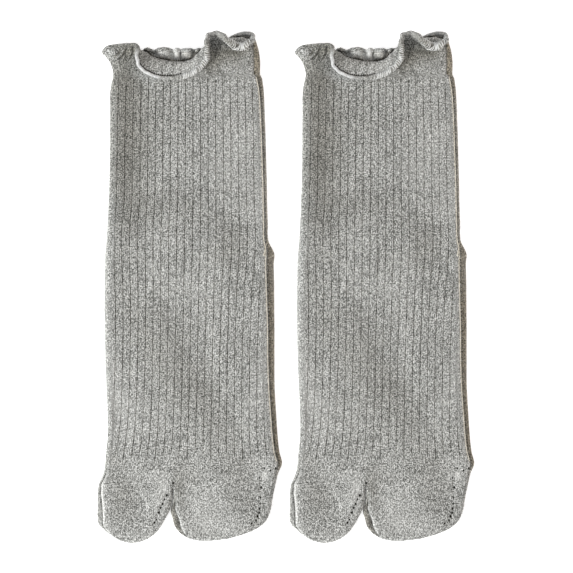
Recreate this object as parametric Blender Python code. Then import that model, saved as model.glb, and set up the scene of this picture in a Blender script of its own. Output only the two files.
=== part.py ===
"""A pair of ribbed tabi socks with a ruffled top, laid flat side by side.

Each sock is one seamless knitted tube: a ribbed leg and instep, a plain heel whose pouch
lies folded under the sock, a plain sole, a big-toe pocket and a pocket for the other toes,
and a plain frill with a rolled edge round the mouth. The frill's middle flops outward over
the front and its right end turns over as a small ear.

Local frame of a sock, in millimetres: +X across, +Y from the toes to the mouth, +Z up off
the surface that the sock lies on. The model is in metres, +Z up, and its origin is under
the middle of the pair.
"""

import math
from collections import namedtuple

import bpy
from mathutils import Vector

MM = 0.001

# ---------------------------------------------------------------- driving sizes, mm
SOCK_PITCH = 108.1          # between the middle lines of the two socks
CENTRE = (-0.4, -0.54)      # middle of a sock's bounding box in its own frame
WALL = 1.6                  # knitted fabric at a rib's crest
RIB_DEPTH = 0.5             # how far a rib stands above the groove beside it
RIB_COUNT = 19.3            # rib pitches across the face of the sock
RIB_FIRST = 0.25            # pitches from the face's left side to its first groove
GROOVE_SHARE = 0.15         # half width of a groove, as a share of the rib pitch
FRILL_WALL = 1.2            # plain knit of the frill
FOLD_RADIUS = 1.5           # the frill's fold where it leans or flops over
CORNER_LATE = 1.2           # how long the frill's corners keep straight up before turning
FRONT_LIFT = 1.2            # how far the standing front rises off the back layer
BEAD_TURNS = (110, 55, 0, -55, -110)    # points round the rolled edge, degrees
RIB_END = -100.0            # where the ribs end and the plain toes start
CROTCH_X, CROTCH_Y = -9.5, -110.9      # where the two toe pockets part
CAVITY_CROTCH_Y = -107.6    # the same, inside the sock
SIDE_INSET = 2.1            # from the sock's side to the hollow inside it

# s runs round a section: 0 at the left side, 0 to 1 over the face from left to right,
# 1 at the right side, 1 to 2 back along the underside.
FACE_START, FACE_END = 0.07, 0.93

# ---------------------------------------------------------------- tables
# One row for each section down the leg and the foot. thick is the height of the face,
# heel the height of the folded pouch layers under it, and step_l and step_r tell how far
# the under layer shows past the face's edge, 0 for a plain rounded side and 1 for a ledge.
Section = namedtuple("Section", "y left right thick heel step_l step_r lip")
SECTIONS = [
    Section(117.0, -43.6, 40.4, 4.4, 0.0, 0.0, 0.9, 3.0),
    Section(109.8, -45.0, 41.3, 4.4, 0.0, 0.0, 0.8, 2.6),
    Section(98.0, -45.1, 41.8, 4.5, 0.0, 0.0, 0.6, 2.3),
    Section(85.0, -45.2, 42.3, 4.5, 0.0, 0.0, 0.6, 2.2),
    Section(72.0, -45.3, 42.6, 4.5, 0.0, 0.0, 0.6, 2.0),
    Section(59.0, -45.5, 43.0, 4.5, 0.0, 0.0, 0.6, 1.9),
    Section(47.0, -46.0, 43.2, 4.7, 0.2, 0.0, 0.6, 1.8),
    Section(36.0, -46.4, 43.5, 5.4, 0.9, 0.0, 0.7, 1.8),
    Section(26.0, -46.9, 43.8, 6.3, 1.8, 0.0, 0.8, 1.9),
    Section(18.6, -47.6, 47.2, 6.5, 2.1, 0.0, 1.0, 4.3),
    Section(13.0, -47.9, 46.9, 6.5, 2.1, 0.0, 1.0, 4.2),
    Section(2.0, -48.0, 47.1, 6.2, 1.7, 0.0, 1.0, 4.1),
    Section(-11.0, -48.2, 47.2, 5.2, 0.7, 0.0, 1.0, 3.8),
    Section(-24.0, -48.1, 47.3, 4.6, 0.1, 0.0, 1.0, 3.5),
    Section(-40.0, -47.8, 47.3, 4.5, 0.0, 0.0, 1.0, 3.4),
    Section(-56.0, -47.2, 47.4, 4.5, 0.0, 0.0, 1.0, 3.0),
    Section(-72.0, -46.5, 48.3, 4.5, 0.0, 0.0, 1.0, 2.8),
    Section(-84.0, -46.5, 49.1, 4.5, 0.0, 0.0, 1.0, 2.7),
    Section(-93.0, -47.4, 50.1, 4.5, 0.0, 0.0, 1.0, 2.6),
    Section(-99.5, -47.9, 51.6, 4.5, 0.0, 0.0, 0.9, 2.6),
    Section(-105.0, -48.9, 49.4, 4.5, 0.0, 0.5, 0.3, 2.0),
    Section(-110.9, -51.5, 48.0, 4.5, 0.0, 0.9, 0.0, 1.6),
]

# One row for each section of a toe pocket, from the crotch to the tip.
Toe = namedtuple("Toe", "y left right thick step_l lip")
BIG_TOE = [
    Toe(-110.9, -51.5, -9.5, 4.5, 0.9, 1.7),
    Toe(-115.5, -52.3, -9.6, 4.5, 1.0, 2.2),
    Toe(-121.0, -52.4, -10.2, 4.5, 1.0, 2.8),
    Toe(-126.0, -52.4, -11.6, 4.5, 1.0, 3.2),
    Toe(-130.5, -52.4, -14.1, 4.5, 0.9, 3.5),
    Toe(-134.3, -51.1, -16.2, 4.4, 0.5, 3.2),
    Toe(-137.5, -47.5, -18.6, 4.3, 0.1, 2.4),
    Toe(-140.5, -43.6, -21.8, 4.0, 0.0, 2.0),
    Toe(-142.8, -39.6, -25.8, 3.4, 0.0, 2.0),
    Toe(-144.0, -35.6, -29.8, 2.2, 0.0, 2.0),
]
OTHER_TOES = [
    Toe(-110.9, -9.5, 48.0, 4.5, 0.0, 2.2),
    Toe(-115.5, -9.5, 46.9, 4.5, 0.1, 2.2),
    Toe(-121.0, -10.1, 46.0, 4.5, 0.4, 2.4),
    Toe(-126.0, -11.1, 45.0, 4.5, 0.9, 3.1),
    Toe(-130.5, -10.0, 43.2, 4.5, 1.0, 3.7),
    Toe(-134.3, -9.1, 39.9, 4.4, 1.0, 3.7),
    Toe(-137.4, -7.1, 34.8, 4.2, 0.8, 3.3),
    Toe(-139.9, -4.1, 27.8, 3.8, 0.4, 2.4),
    Toe(-141.8, -0.2, 20.6, 3.2, 0.1, 2.0),
    Toe(-142.9, 4.0, 12.8, 2.1, 0.0, 2.0),
]

# One row for each fold round the frill, s as above. x is where the rolled edge lies
# across the sock, rise how far up the frill stands before it leans, lean the angle it leans
# through over the face (0 stands on, 180 is flopped right over), flap what is left from
# there to the edge and bow how far its middle swells to the side.
Fold = namedtuple("Fold", "s x rise lean flap bow roll")
FRILL = [
    Fold(0.000, -48.4, 125.4, 14, 5.8, 0.0, 0.9),    # left corner
    Fold(0.045, -45.6, 126.2, 24, 7.4, 0.4, 0.9),
    Fold(0.095, -40.4, 127.2, 14, 7.2, 0.0, 0.95),
    Fold(0.145, -33.74, 127.71, 24, 7.08, 0.5, 1.1),
    Fold(0.190, -28.4, 128.4, 60.2, 6.9, 1.4, 1.15),    # the flopped middle starts
    Fold(0.225, -28.8, 129.6, 90.0, 6.9, 2.15, 1.1),
    Fold(0.260, -28.2, 128.4, 147.5, 6.6, 2.5, 1.05),
    Fold(0.305, -24.6, 126.6, 170.6, 7.1, 0.5, 1.05),
    Fold(0.360, -17.4, 124.9, 180, 7.8, 0.1, 1.1),
    Fold(0.420, -10.4, 124.0, 180, 7.3, 0.0, 1.25),
    Fold(0.475, -4.2, 123.9, 180, 6.5, 0.0, 1.5),
    Fold(0.525, 1.6, 125.5, 180, 6.2, 0.0, 1.5),
    Fold(0.570, 6.6, 129.2, 180, 6.4, -0.9, 1.5),
    Fold(0.610, 9.86, 132.8, 166.98, 5.8, -1.2, 1.5),
    Fold(0.645, 9.73, 135.53, 128.81, 4.95, -1.5, 1.35),
    Fold(0.680, 9.89, 135.6, 81.87, 4.61, -1.23, 1.3),     # the flopped middle ends
    Fold(0.710, 10.8, 136.41, 56.43, 4.34, -0.5, 1.3),
    Fold(0.750, 15.6, 136.4, 44, 5.0, 0.24, 1.48),
    Fold(0.790, 20.2, 136.4, 92, 5.0, 0.0, 1.6),      # the turned ear
    Fold(0.830, 24.0, 137.0, 140, 4.4, 0.0, 2.0),
    Fold(0.880, 28.6, 137.1, 175.2, 3.6, 0.0, 2.2),
    Fold(0.930, 31.9, 136.4, 132.8, 4.2, -0.4, 1.7),
    Fold(0.975, 34.7, 135.5, 88.1, 4.2, 0.7, 1.4),
    Fold(1.020, 35.1, 136.3, 40.3, 4.0, 1.2, 1.3),   # right corner
    Fold(1.070, 33.0, 137.5, 38.1, 4.4, 1.2, 1.2),
    Fold(1.130, 25.9, 136.4, 12.7, 4.3, 0.1, 1.3),
    Fold(1.200, 19.0, 131.0, 10, 6.0, 0.0, 1.2),
    Fold(1.280, 12.8, 128.0, 8, 5.4, 0.0, 1.2),
    Fold(1.345, 9.0, 127.0, 10, 6.3, 0.0, 1.2),       # ruffles of the back layer
    Fold(1.380, 6.6, 126.4, 8, 6.2, 0.0, 1.2),
    Fold(1.412, 4.8, 126.0, 20, 6.6, 0.0, 1.2),
    Fold(1.446, 2.4, 125.8, 8, 6.3, 0.0, 1.2),
    Fold(1.492, -1.6, 126.2, 46, 6.8, 0.0, 1.2),
    Fold(1.538, -5.6, 125.4, 8, 6.5, 0.0, 1.2),
    Fold(1.566, -7.4, 126.2, 42, 6.8, 0.0, 1.2),
    Fold(1.594, -9.2, 125.2, 8, 6.5, 0.0, 1.2),
    Fold(1.655, -14.8, 126.8, 52, 7.2, 0.0, 1.2),
    Fold(1.716, -20.6, 125.0, 8, 6.6, 0.0, 1.2),
    Fold(1.752, -23.8, 125.8, 32, 7.2, 0.0, 1.2),
    Fold(1.790, -27.0, 124.8, 8, 6.8, 0.0, 1.1),
    Fold(1.870, -37.8, 124.6, 9, 6.0, 0.0, 1.0),
    Fold(1.950, -45.6, 124.4, 10, 6.0, 0.4, 0.9),
]

# Soft unevenness of the face: place, half length, half width, turn from +X and height.
Swell = namedtuple("Swell", "x y length width turn rise")
SWELLS = [
    Swell(-40.0, 78.0, 52.0, 6.0, 90.0, 0.5),      # ridge along the left side of the leg
    Swell(-26.0, 70.0, 48.0, 9.0, 88.0, -0.5),     # trough beside it
    Swell(12.0, 92.0, 30.0, 20.0, 96.0, 0.7),      # fullness of the leg
    Swell(32.0, 44.0, 12.0, 9.0, 100.0, 0.8),      # pucker above the heel corner
    Swell(26.0, 20.0, 18.0, 8.0, 84.0, -0.7),
    Swell(-8.0, -52.0, 46.0, 9.0, 116.0, -0.6),    # diagonal trough over the instep
    Swell(-34.0, -68.0, 20.0, 9.0, 84.0, 0.6),
    Swell(22.0, -30.0, 34.0, 12.0, 100.0, 0.5),
    Swell(10.0, -124.0, 12.0, 9.0, 84.0, 0.5),     # fullness of the toe pockets
    Swell(-24.0, -122.0, 11.0, 7.0, 96.0, 0.5),
]

# How the points of a rounded or stepped side lie, by the distance in from the side and
# the height: shares of the thickness where the side is plain, millimetres where the under
# layer shows as a ledge. lips counts the ledge's own width in to that distance.
Side = namedtuple("Side", "s plain_in plain_rise step_in lips step_rise")
TOP_SIDE = [
    Side(0.000, 0.00, 0.50, 0.0, 0, 0.24),
    Side(0.012, 0.05, 0.68, 0.6, 0, 0.44),
    Side(0.024, 0.14, 0.82, -0.8, 1, 0.46),
    Side(0.036, 0.27, 0.92, 0.0, 1, 0.24),
    Side(0.050, 0.44, 0.98, 0.6, 1, 0.80),
    Side(0.070, 0.80, 1.00, 2.2, 1, 1.00),
]
UNDER_SIDE = [
    Side(0.015, 0.07, 0.20, 0.4, 0, 0.07),
    Side(0.035, 0.28, 0.00, 1.3, 0, 0.00),
]
UNDER_COLUMNS = 4

# name, base colour, roughness
HEATHER = ("heather_grey_knit", (0.340, 0.343, 0.325), 0.95)


# ---------------------------------------------------------------- curves and tables
def hermite(a, b, slope_a, slope_b, span, t):
    """Cubic from a to b over span, with the given slopes at its ends."""
    t2, t3 = t * t, t * t * t
    return (
        (2 * t3 - 3 * t2 + 1) * a
        + (t3 - 2 * t2 + t) * span * slope_a
        + (3 * t2 - 2 * t3) * b
        + (t3 - t2) * span * slope_b
    )


def read(rows, key, name, at, period=None):
    """The named column of a table at a value of its key column, smooth between rows."""
    keys = [getattr(row, key) for row in rows]
    values = [getattr(row, name) for row in rows]
    if keys[0] > keys[-1]:
        keys, values, at = [-k for k in keys], values, -at
    if period:
        keys = [keys[-2] - period, keys[-1] - period] + keys + [keys[0] + period, keys[1] + period]
        values = values[-2:] + values + values[:2]
        at = at % period
    at = min(max(at, keys[0]), keys[-1])
    i = max(k for k in range(len(keys) - 1) if keys[k] <= at)
    span = keys[i + 1] - keys[i]

    def slope(k):
        lo, hi = max(k - 1, 0), min(k + 1, len(keys) - 1)
        return (values[hi] - values[lo]) / (keys[hi] - keys[lo])

    return hermite(values[i], values[i + 1], slope(i), slope(i + 1), span, (at - keys[i]) / span)


def ease(t):
    t = min(max(t, 0.0), 1.0)
    return t * t * (3 - 2 * t)


def mix(a, b, t):
    return a + (b - a) * t


def swell_height(x, y):
    """Height of the soft unevenness over the plain face."""
    total = 0.0
    for w in SWELLS:
        turn = math.radians(w.turn)
        along = (x - w.x) * math.cos(turn) + (y - w.y) * math.sin(turn)
        across = (y - w.y) * math.cos(turn) - (x - w.x) * math.sin(turn)
        total += w.rise * math.exp(-((along / w.length) ** 2) - (across / w.width) ** 2)
    return total


# ---------------------------------------------------------------- sections
def rib_columns():
    """(s, is_groove) for each point over the ribbed face."""
    columns = []
    pitches = RIB_FIRST
    while pitches < RIB_COUNT - 0.05:
        for shift, groove in ((-GROOVE_SHARE, False), (0.0, True), (GROOVE_SHARE, False)):
            if 0.05 < pitches + shift < RIB_COUNT - 0.05:
                share = (pitches + shift) / RIB_COUNT
                columns.append((mix(FACE_START, FACE_END, share), groove))
        pitches += 1
    return columns


def plain_columns(count):
    return [(mix(FACE_START, FACE_END, (k + 1) / (count + 1)), False) for k in range(count)]


def side_points(row, groups, side, edge, step):
    """Points of one side, from its outermost point inward, as (s, x, z)."""
    points = []
    inward = 1 if side == "left" else -1
    for p in groups:
        plain = (p.plain_in * row.thick * 0.8, p.plain_rise * row.thick)
        stepped = (p.step_in + p.lips * row.lip, p.step_rise * min(row.thick, 4.8))
        if p.step_rise > 0.75:
            stepped = (stepped[0], p.step_rise * row.thick)
        across, rise = mix(plain[0], stepped[0], step), mix(plain[1], stepped[1], step)
        points.append((p.s, edge + inward * across, rise))
    return points


def outer_section(row, y, columns, step_r, ribbed=0.0):
    """Closed section of the outside at y, as a list of (s, point)."""
    left = side_points(row, TOP_SIDE, "left", row.left, row.step_l)
    right = side_points(row, TOP_SIDE, "right", row.right, step_r)
    x_from, x_to = left[-1][1], right[-1][1]
    ring = [(s, Vector((x, y, z))) for s, x, z in left[:-1]]
    face = [(FACE_START, False)] + columns + [(FACE_END, False)]
    for s, groove in face:
        share = (s - FACE_START) / (FACE_END - FACE_START)
        x = mix(x_from, x_to, share)
        fade = ease(min(share, 1 - share) * 8)
        z = row.thick + fade * swell_height(x, y) - (RIB_DEPTH * ribbed if groove else 0.0)
        ring.append((s, Vector((x, y, z))))
    ring += [(1 - s, Vector((x, y, z))) for s, x, z in reversed(right[:-1])]
    low_right = side_points(row, UNDER_SIDE, "right", row.right, step_r)
    low_left = side_points(row, UNDER_SIDE, "left", row.left, row.step_l)
    ring += [(1 + s, Vector((x, y, z))) for s, x, z in low_right]
    for k in range(1, UNDER_COLUMNS + 1):
        share = k / (UNDER_COLUMNS + 1)
        x = mix(low_right[-1][1], low_left[-1][1], share)
        ring.append((mix(1 + low_right[-1][0], 2 - low_left[-1][0], share), Vector((x, y, 0.0))))
    ring += [(2 - s, Vector((x, y, z))) for s, x, z in reversed(low_left)]
    return ring


def inner_section(row, y, heel, step_r, top=12, under=6, inset=SIDE_INSET):
    """Closed section of the hollow at y, as a list of (s, point)."""
    low = WALL + heel
    left = row.left + inset + row.step_l * (row.lip - 0.4)
    right = row.right - inset - step_r * (row.lip - 0.4)
    ring = []
    for k in range(top + 1):
        share = k / top
        x = mix(left, right, share)
        fade = ease(min(share, 1 - share) * 8)
        outside = row.thick + fade * swell_height(x, y)
        z = max(outside - WALL, low + 0.35)
        if k in (0, top):
            z = mix(low, z, 0.5)
        ring.append((share, Vector((x, y, z))))
    for k in range(under + 1):
        share = (k + 0.25) / (under + 0.5)
        ring.append((1 + share, Vector((mix(right, left, share), y, low))))
    return ring


def section_row(y):
    return Section(y, *(read(SECTIONS, "y", name, y) for name in Section._fields[1:]))


def at_s(ring, s):
    """The point of a closed section at s, straight between its points."""
    s = s % 2.0
    for k, (s_a, a) in enumerate(ring):
        s_b, b = ring[(k + 1) % len(ring)]
        if k == len(ring) - 1:
            s_b += 2.0
        for shift in (0.0, 2.0):
            if s_a <= s + shift <= s_b:
                return a.lerp(b, (s + shift - s_a) / max(s_b - s_a, 1e-9))
    return ring[0][1].copy()


# ---------------------------------------------------------------- the frill
# Places up the frill's wall: its foot, its straight part, points round the lean, its flap.
FRILL_ROWS = [("foot", 0.0), ("stand", 0.5), ("lean", 0.0), ("lean", 0.34), ("lean", 0.67),
              ("lean", 1.0), ("flap", 1.0)]
FRILL_SPANS = [(0.06, 2), (0.18, 3), (0.30, 6), (0.56, 6), (0.70, 7), (0.84, 5), (0.92, 2),
               (1.06, 6), (1.32, 6), (1.78, 16), (1.94, 3), (2.0, 2)]


def frill_columns():
    """Values of s round the frill, closer together at its corners and turned folds."""
    values = [0.0]
    for end, count in FRILL_SPANS:
        start = values[-1]
        values += [mix(start, end, (k + 1) / count) for k in range(count)]
    return values[:-1]


def frill_profile(base, s):
    """Middle of the frill's wall at s, from its foot to the middle of its rolled edge."""
    x, rise, lean, flap, bow = (read(FRILL, "s", name, s, 2.0) for name in Fold._fields[1:6])
    lean = math.radians(min(max(lean, 0.0), 180.0))
    lift = FRONT_LIFT * ease((1.0 - s) / 0.05) * ease((rise - 124.0) / 4.0)
    points = []
    for place, share in FRILL_ROWS:
        y, z = mix(base.y, rise, share), base.z + lift * share
        if place in ("lean", "flap"):
            angle = lean * (share if place == "lean" else 1.0)
            y = rise + FOLD_RADIUS * math.sin(angle)
            z = base.z + lift + FOLD_RADIUS * (1 - math.cos(angle))
            if place == "flap":
                y += flap * math.cos(angle)
                z += flap * math.sin(angle)
        points.append(Vector((base.x, y, z)))
    points[0] = base.copy()
    lengths = [0.0]
    for a, b in zip(points, points[1:]):
        lengths.append(lengths[-1] + (b - a).length)
    corner = abs(s - round(s))
    late = 1.0 + CORNER_LATE * math.exp(-((corner / 0.06) ** 2))
    for point, length in zip(points, lengths):
        share = length / lengths[-1]
        point.x = mix(base.x, x, share ** late) + bow * math.sin(math.pi * share)
    return points


def frill_rings(outer_base, inner_base):
    """Rings of the frill's outside, its rolled edge and its inside."""
    columns = frill_columns()
    middle, half = [], []
    for s in columns:
        out, inn = at_s(outer_base, s), at_s(inner_base, s)
        middle.append(frill_profile((out + inn) / 2, s))
        half.append((out - inn) / 2)
    count, rows = len(columns), len(FRILL_ROWS)

    def frame(i, j):
        round_it = middle[(i + 1) % count][j] - middle[i - 1][j]
        up_it = middle[i][min(j + 1, rows - 1)] - middle[i][max(j - 1, 0)]
        out = round_it.cross(up_it).normalized()
        return up_it.normalized(), out

    outside, inside = [], []
    for j in range(1, rows):
        outer_row, inner_row = [], []
        for i, s in enumerate(columns):
            up, out = frame(i, j)
            point = middle[i][j]
            offset = out * FRILL_WALL / 2
            if j == 1:
                offset = half[i].normalized() * mix(half[i].length, FRILL_WALL / 2, 0.5)
            if j == rows - 1:
                up = (middle[i][j] - middle[i][j - 1]).normalized()
                point = point - up * read(FRILL, "s", "roll", s, 2.0)
            outer_row.append((s, point + offset))
            inner_row.append((s, point - offset))
        outside.append(outer_row)
        inside.append(inner_row)
    bead = []
    for degrees in BEAD_TURNS:
        ring = []
        turn = math.radians(degrees)
        for i, s in enumerate(columns):
            _, out = frame(i, rows - 1)
            up = (middle[i][-1] - middle[i][-2]).normalized()
            radius = read(FRILL, "s", "roll", s, 2.0)
            point = middle[i][-1] + radius * (math.cos(turn) * up + math.sin(turn) * out)
            ring.append((s, point))
        bead.append(ring)
    return outside, inside, bead


# ---------------------------------------------------------------- mesh building
class Skin:
    """Points and faces of one closed surface, joined ring by ring."""

    def __init__(self):
        self.points, self.faces = [], []

    def add(self, ring):
        """Keeps a ring's points and gives them back as (s, index)."""
        start = len(self.points)
        self.points += [point for _, point in ring]
        return [(s, start + k) for k, (s, _) in enumerate(ring)]

    def join(self, a, b, flip=False):
        """Faces between two closed rings, whose counts may differ, matched by s."""
        i = j = 0
        while i < len(a) or j < len(b):
            a_now, b_now = a[i % len(a)][1], b[j % len(b)][1]
            a_next, b_next = a[(i + 1) % len(a)][1], b[(j + 1) % len(b)][1]
            s_a = a[(i + 1) % len(a)][0] + (2.0 if i + 1 >= len(a) else 0.0)
            s_b = b[(j + 1) % len(b)][0] + (2.0 if j + 1 >= len(b) else 0.0)
            if i < len(a) and j < len(b) and abs(s_a - s_b) < 1e-6:
                face = (a_now, a_next, b_next, b_now)
                i, j = i + 1, j + 1
            elif j >= len(b) or (i < len(a) and s_a < s_b):
                face = (a_now, a_next, b_now)
                i += 1
            else:
                face = (a_now, b_next, b_now)
                j += 1
            self.faces.append(face if flip else tuple(reversed(face)))

    def chain(self, rings, first, flip=False):
        """Adds rings one after another from a ring already kept and gives back the last."""
        for ring in rings:
            kept = self.add(ring)
            self.join(first, kept, flip)
            first = kept
        return first

    def close(self, ring, flip=False):
        """Fills a small last ring round its middle."""
        middle = len(self.points)
        corners = [self.points[index] for _, index in ring]
        self.points.append(sum(corners, Vector()) / len(corners))
        for k in range(len(ring)):
            face = (ring[k][1], ring[(k + 1) % len(ring)][1], middle)
            self.faces.append(face if flip else tuple(reversed(face)))


def split_ring(skin, ring, saddle, s_top, s_under):
    """Parts a kept ring in two at the crotch; both halves share the points of the saddle."""
    top = next(pair for pair in ring if abs(pair[0] - s_top) < 1e-6)
    under = next(pair for pair in ring if abs(pair[0] - s_under) < 1e-6)
    bridge = skin.add([(0.0, point) for point in saddle])
    count = len(bridge) + 1
    left = [(s / s_top * 0.93, index) for s, index in ring if s <= top[0]]
    left += [(mix(0.93, 1.07, (k + 1) / count), index) for k, (_, index) in enumerate(bridge)]
    left += [(mix(1.07, 2.0, (s - s_under) / (2.0 - s_under)), i)
             for s, i in ring if s >= under[0]]
    right = [(mix(0.07, 1.0, (s - s_top) / (1.0 - s_top)), i)
             for s, i in ring if s_top <= s <= 1.0]
    right += [(mix(1.0, 1.93, (s - 1.0) / (s_under - 1.0)), i)
              for s, i in ring if 1.0 < s <= s_under]
    right += [(mix(1.93, 2.07, (k + 1) / count), index)
              for k, (_, index) in enumerate(reversed(bridge))]
    wrapped = [(s - 2.0, i) for s, i in right if s >= 2.0]
    return left, wrapped + [(s, i) for s, i in right if s < 2.0]


def toe_outer(table, columns):
    return [outer_section(row, row.y, plain_columns(columns), 0.0) for row in table[1:]]


def toe_inner(table, last):
    return [inner_section(row, row.y, 0.0, 0.0, top=8, under=4) for row in table[1:last]]


def build_sock(name, collection, material, centre_x):
    skin = Skin()
    ribs = rib_columns()
    face_y = [row.y for row in SECTIONS]

    # the crotch needs a point of its own on the face and on the underside
    crotch_share = (CROTCH_X - SECTIONS[-1].left) / (SECTIONS[-1].right - SECTIONS[-1].left)
    plain = plain_columns(21)
    s_top = min((s for s, _ in plain), key=lambda s: abs(s - mix(0.07, 0.93, crotch_share)))

    # outside, from the ribbed top to the crotch
    outer = []
    for y in face_y:
        row = section_row(y)
        if y > RIB_END:
            columns, ribbed = ribs, 1.0
        else:
            columns, ribbed = plain, 0.0
        if y == face_y[0]:
            ribbed = 0.3
        outer.append(outer_section(row, y, columns, row.step_r, ribbed))
    crotch = outer[-1]
    s_under = min((abs(p.x - CROTCH_X), s) for s, p in crotch if p.z == 0.0 and s > 1.1)[1]
    for k, (s, point) in enumerate(crotch):
        if s == s_top or s == s_under:
            crotch[k] = (s, Vector((CROTCH_X, CROTCH_Y, point.z)))
    kept_top = skin.add(outer[0])
    kept = skin.chain(outer[1:], kept_top)
    thick = SECTIONS[-1].thick
    saddle = [Vector((CROTCH_X, CROTCH_Y - out, rise * thick))
              for out, rise in ((0.6, 0.8), (0.9, 0.5), (0.6, 0.2))]
    left, right = split_ring(skin, kept, saddle, s_top, s_under)
    for ring, table, columns in ((left, BIG_TOE, 8), (right, OTHER_TOES, 11)):
        last = skin.chain(toe_outer(table, columns), ring)
        skin.close(last)

    # the hollow inside it
    inner = []
    for y in face_y[:-1]:
        row = section_row(y)
        inner.append(inner_section(row, y, row.heel, row.step_r))
    row = section_row(CAVITY_CROTCH_Y)
    inner.append(inner_section(row, CAVITY_CROTCH_Y, 0.0, row.step_r))
    last_inner = inner[-1]
    s_top_in = min((s for s, p in last_inner if s <= 1.0 and 0.1 < s < 0.9),
                   key=lambda s: abs(at_s(last_inner, s).x - CROTCH_X))
    s_under_in = min((s for s, p in last_inner if 1.1 < s < 1.9),
                     key=lambda s: abs(at_s(last_inner, s).x - CROTCH_X))
    for k, (s, point) in enumerate(last_inner):
        if s in (s_top_in, s_under_in):
            last_inner[k] = (s, Vector((CROTCH_X, CAVITY_CROTCH_Y, point.z)))
    kept_inner_top = skin.add(inner[0])
    kept = skin.chain(inner[1:], kept_inner_top, flip=True)
    middle = Vector((CROTCH_X, CAVITY_CROTCH_Y - 0.2, thick / 2))
    left, right = split_ring(skin, kept, [middle], s_top_in, s_under_in)
    for ring, table in ((left, BIG_TOE), (right, OTHER_TOES)):
        last = skin.chain(toe_inner(table, 8), ring, flip=True)
        skin.close(last, flip=True)

    # the frill joins the two at the mouth
    outside, inside, bead = frill_rings(outer[0], inner[0])
    edge_outer = skin.chain(outside, kept_top, flip=True)
    edge_inner = skin.chain(inside, kept_inner_top)
    last = skin.chain(bead, edge_outer, flip=True)
    skin.join(last, edge_inner, flip=True)

    mesh = bpy.data.meshes.new(name)
    shift = Vector((CENTRE[0], CENTRE[1], 0.0))
    mesh.from_pydata([tuple((p - shift) * MM) for p in skin.points], [], skin.faces)
    mesh.update()
    mesh.materials.append(material)
    mesh.shade_smooth()
    mesh.set_sharp_from_angle(angle=math.radians(50))
    sock = bpy.data.objects.new(name, mesh)
    sock.location = (centre_x * MM, 0.0, 0.0)
    collection.objects.link(sock)
    return sock


def knit_material():
    name, colour, roughness = HEATHER
    material = bpy.data.materials.new(name)
    material.use_nodes = True
    shader = material.node_tree.nodes["Principled BSDF"]
    shader.inputs["Base Color"].default_value = (*colour, 1.0)
    shader.inputs["Roughness"].default_value = roughness
    shader.inputs["Metallic"].default_value = 0.0
    return material


def main():
    for obj in list(bpy.data.objects):
        bpy.data.objects.remove(obj, do_unlink=True)
    collection = bpy.data.collections.new("tabi_socks")
    bpy.context.scene.collection.children.link(collection)
    build_sock("sock_left", collection, knit_material(), -SOCK_PITCH / 2)
    build_sock("sock_right", collection, knit_material(), SOCK_PITCH / 2)


main()
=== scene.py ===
"""Looks of a pair of ribbed tabi socks in heather grey knit, laid flat side by side.

Each sock is one fine skin over its solid: ribbed leg and instep, plain toes, the under layer
showing past the face at the sides, and a frill with a rolled and oversewn edge. Sizes are in
millimetres in a sock's own frame, +X across, +Y from the toes to the mouth, +Z up.
"""

import math
from collections import namedtuple

import bmesh
import bpy
import numpy as np
from mathutils import Matrix, Vector
from mathutils.bvhtree import BVHTree


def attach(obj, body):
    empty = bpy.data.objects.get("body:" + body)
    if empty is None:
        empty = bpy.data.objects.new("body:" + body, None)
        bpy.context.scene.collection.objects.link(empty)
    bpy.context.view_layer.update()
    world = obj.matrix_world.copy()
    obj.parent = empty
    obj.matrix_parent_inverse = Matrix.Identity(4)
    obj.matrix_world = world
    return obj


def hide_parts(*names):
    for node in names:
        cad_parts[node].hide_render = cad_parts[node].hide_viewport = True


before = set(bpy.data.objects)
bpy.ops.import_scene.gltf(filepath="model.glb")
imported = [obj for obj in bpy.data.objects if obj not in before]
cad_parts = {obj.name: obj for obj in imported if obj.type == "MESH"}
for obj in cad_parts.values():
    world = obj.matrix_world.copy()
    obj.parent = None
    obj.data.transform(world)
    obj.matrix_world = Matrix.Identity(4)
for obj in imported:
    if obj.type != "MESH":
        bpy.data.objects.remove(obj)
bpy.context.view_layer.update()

# ---------------------------------------------------------------- sizes, mm unless told
MM = 0.001
SOCK_PITCH = 108.1          # between the middle lines of the two
CENTRE = (-0.4, -0.54, 0.0)     # of the outline, in a sock's own frame
TUBE_TOP = 117.0            # y of the mouth, where the frill starts
CROTCH_X, CROTCH_Y = -9.5, -110.9
CROTCH_PULL_FROM = -96.0    # y from which the columns draw over to the crotch
CROTCH_BULGE = 0.9          # how far the bridge between the toe pockets stands out
HOLLOW_END_Y = -107.6
WALL = 1.6
FRILL_WALL = 1.2
SIDE_INSET = 2.1            # of the hollow from the sides
FOLD_RADIUS = 1.5
FRONT_LIFT = 1.2            # of the frill's front where it folds over high up
CORNER_LATE = 1.2           # how long the frill's corners keep straight up before turning
ROLL_RADIUS = 1.45          # that the thread of the roll's stitches is sized for
ROLL_TURN = 125             # degrees the roll turns to either side of straight out
ROUND = 2.0                 # s once round the mouth: 0 left corner, 1 right corner, then the back
WALE = 1.07                 # knit column to knit column
COURSE = 0.80               # knit row to knit row
WALES_A_RIB = 4
GROOVE_DEPTH = 0.50
GROOVE_WIDTH = 0.055        # of a rib pitch
GROOVE_SHADE = 0.085        # the same, for the shade down in it
GROOVES_END = -97.0         # mean y of the grooves' lower ends
FIRST_RIB, LAST_RIB = -10, 12     # grooves counted from the middle one
RIB_SHIFT = 0.2             # of all grooves, to the right of their table
RIB_STEPS = (0.0, 0.04, 0.085, 0.15, 0.34, 0.5, 0.66, 0.85, 0.915, 0.96)
ROW_STEP = 1.5              # between the tube's rings
SIDE_POINTS = 22
SIDE_T = np.linspace(0.0, 1.0, SIDE_POINTS)
UP = SIDE_POINTS - 1        # columns of a side below the face
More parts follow.
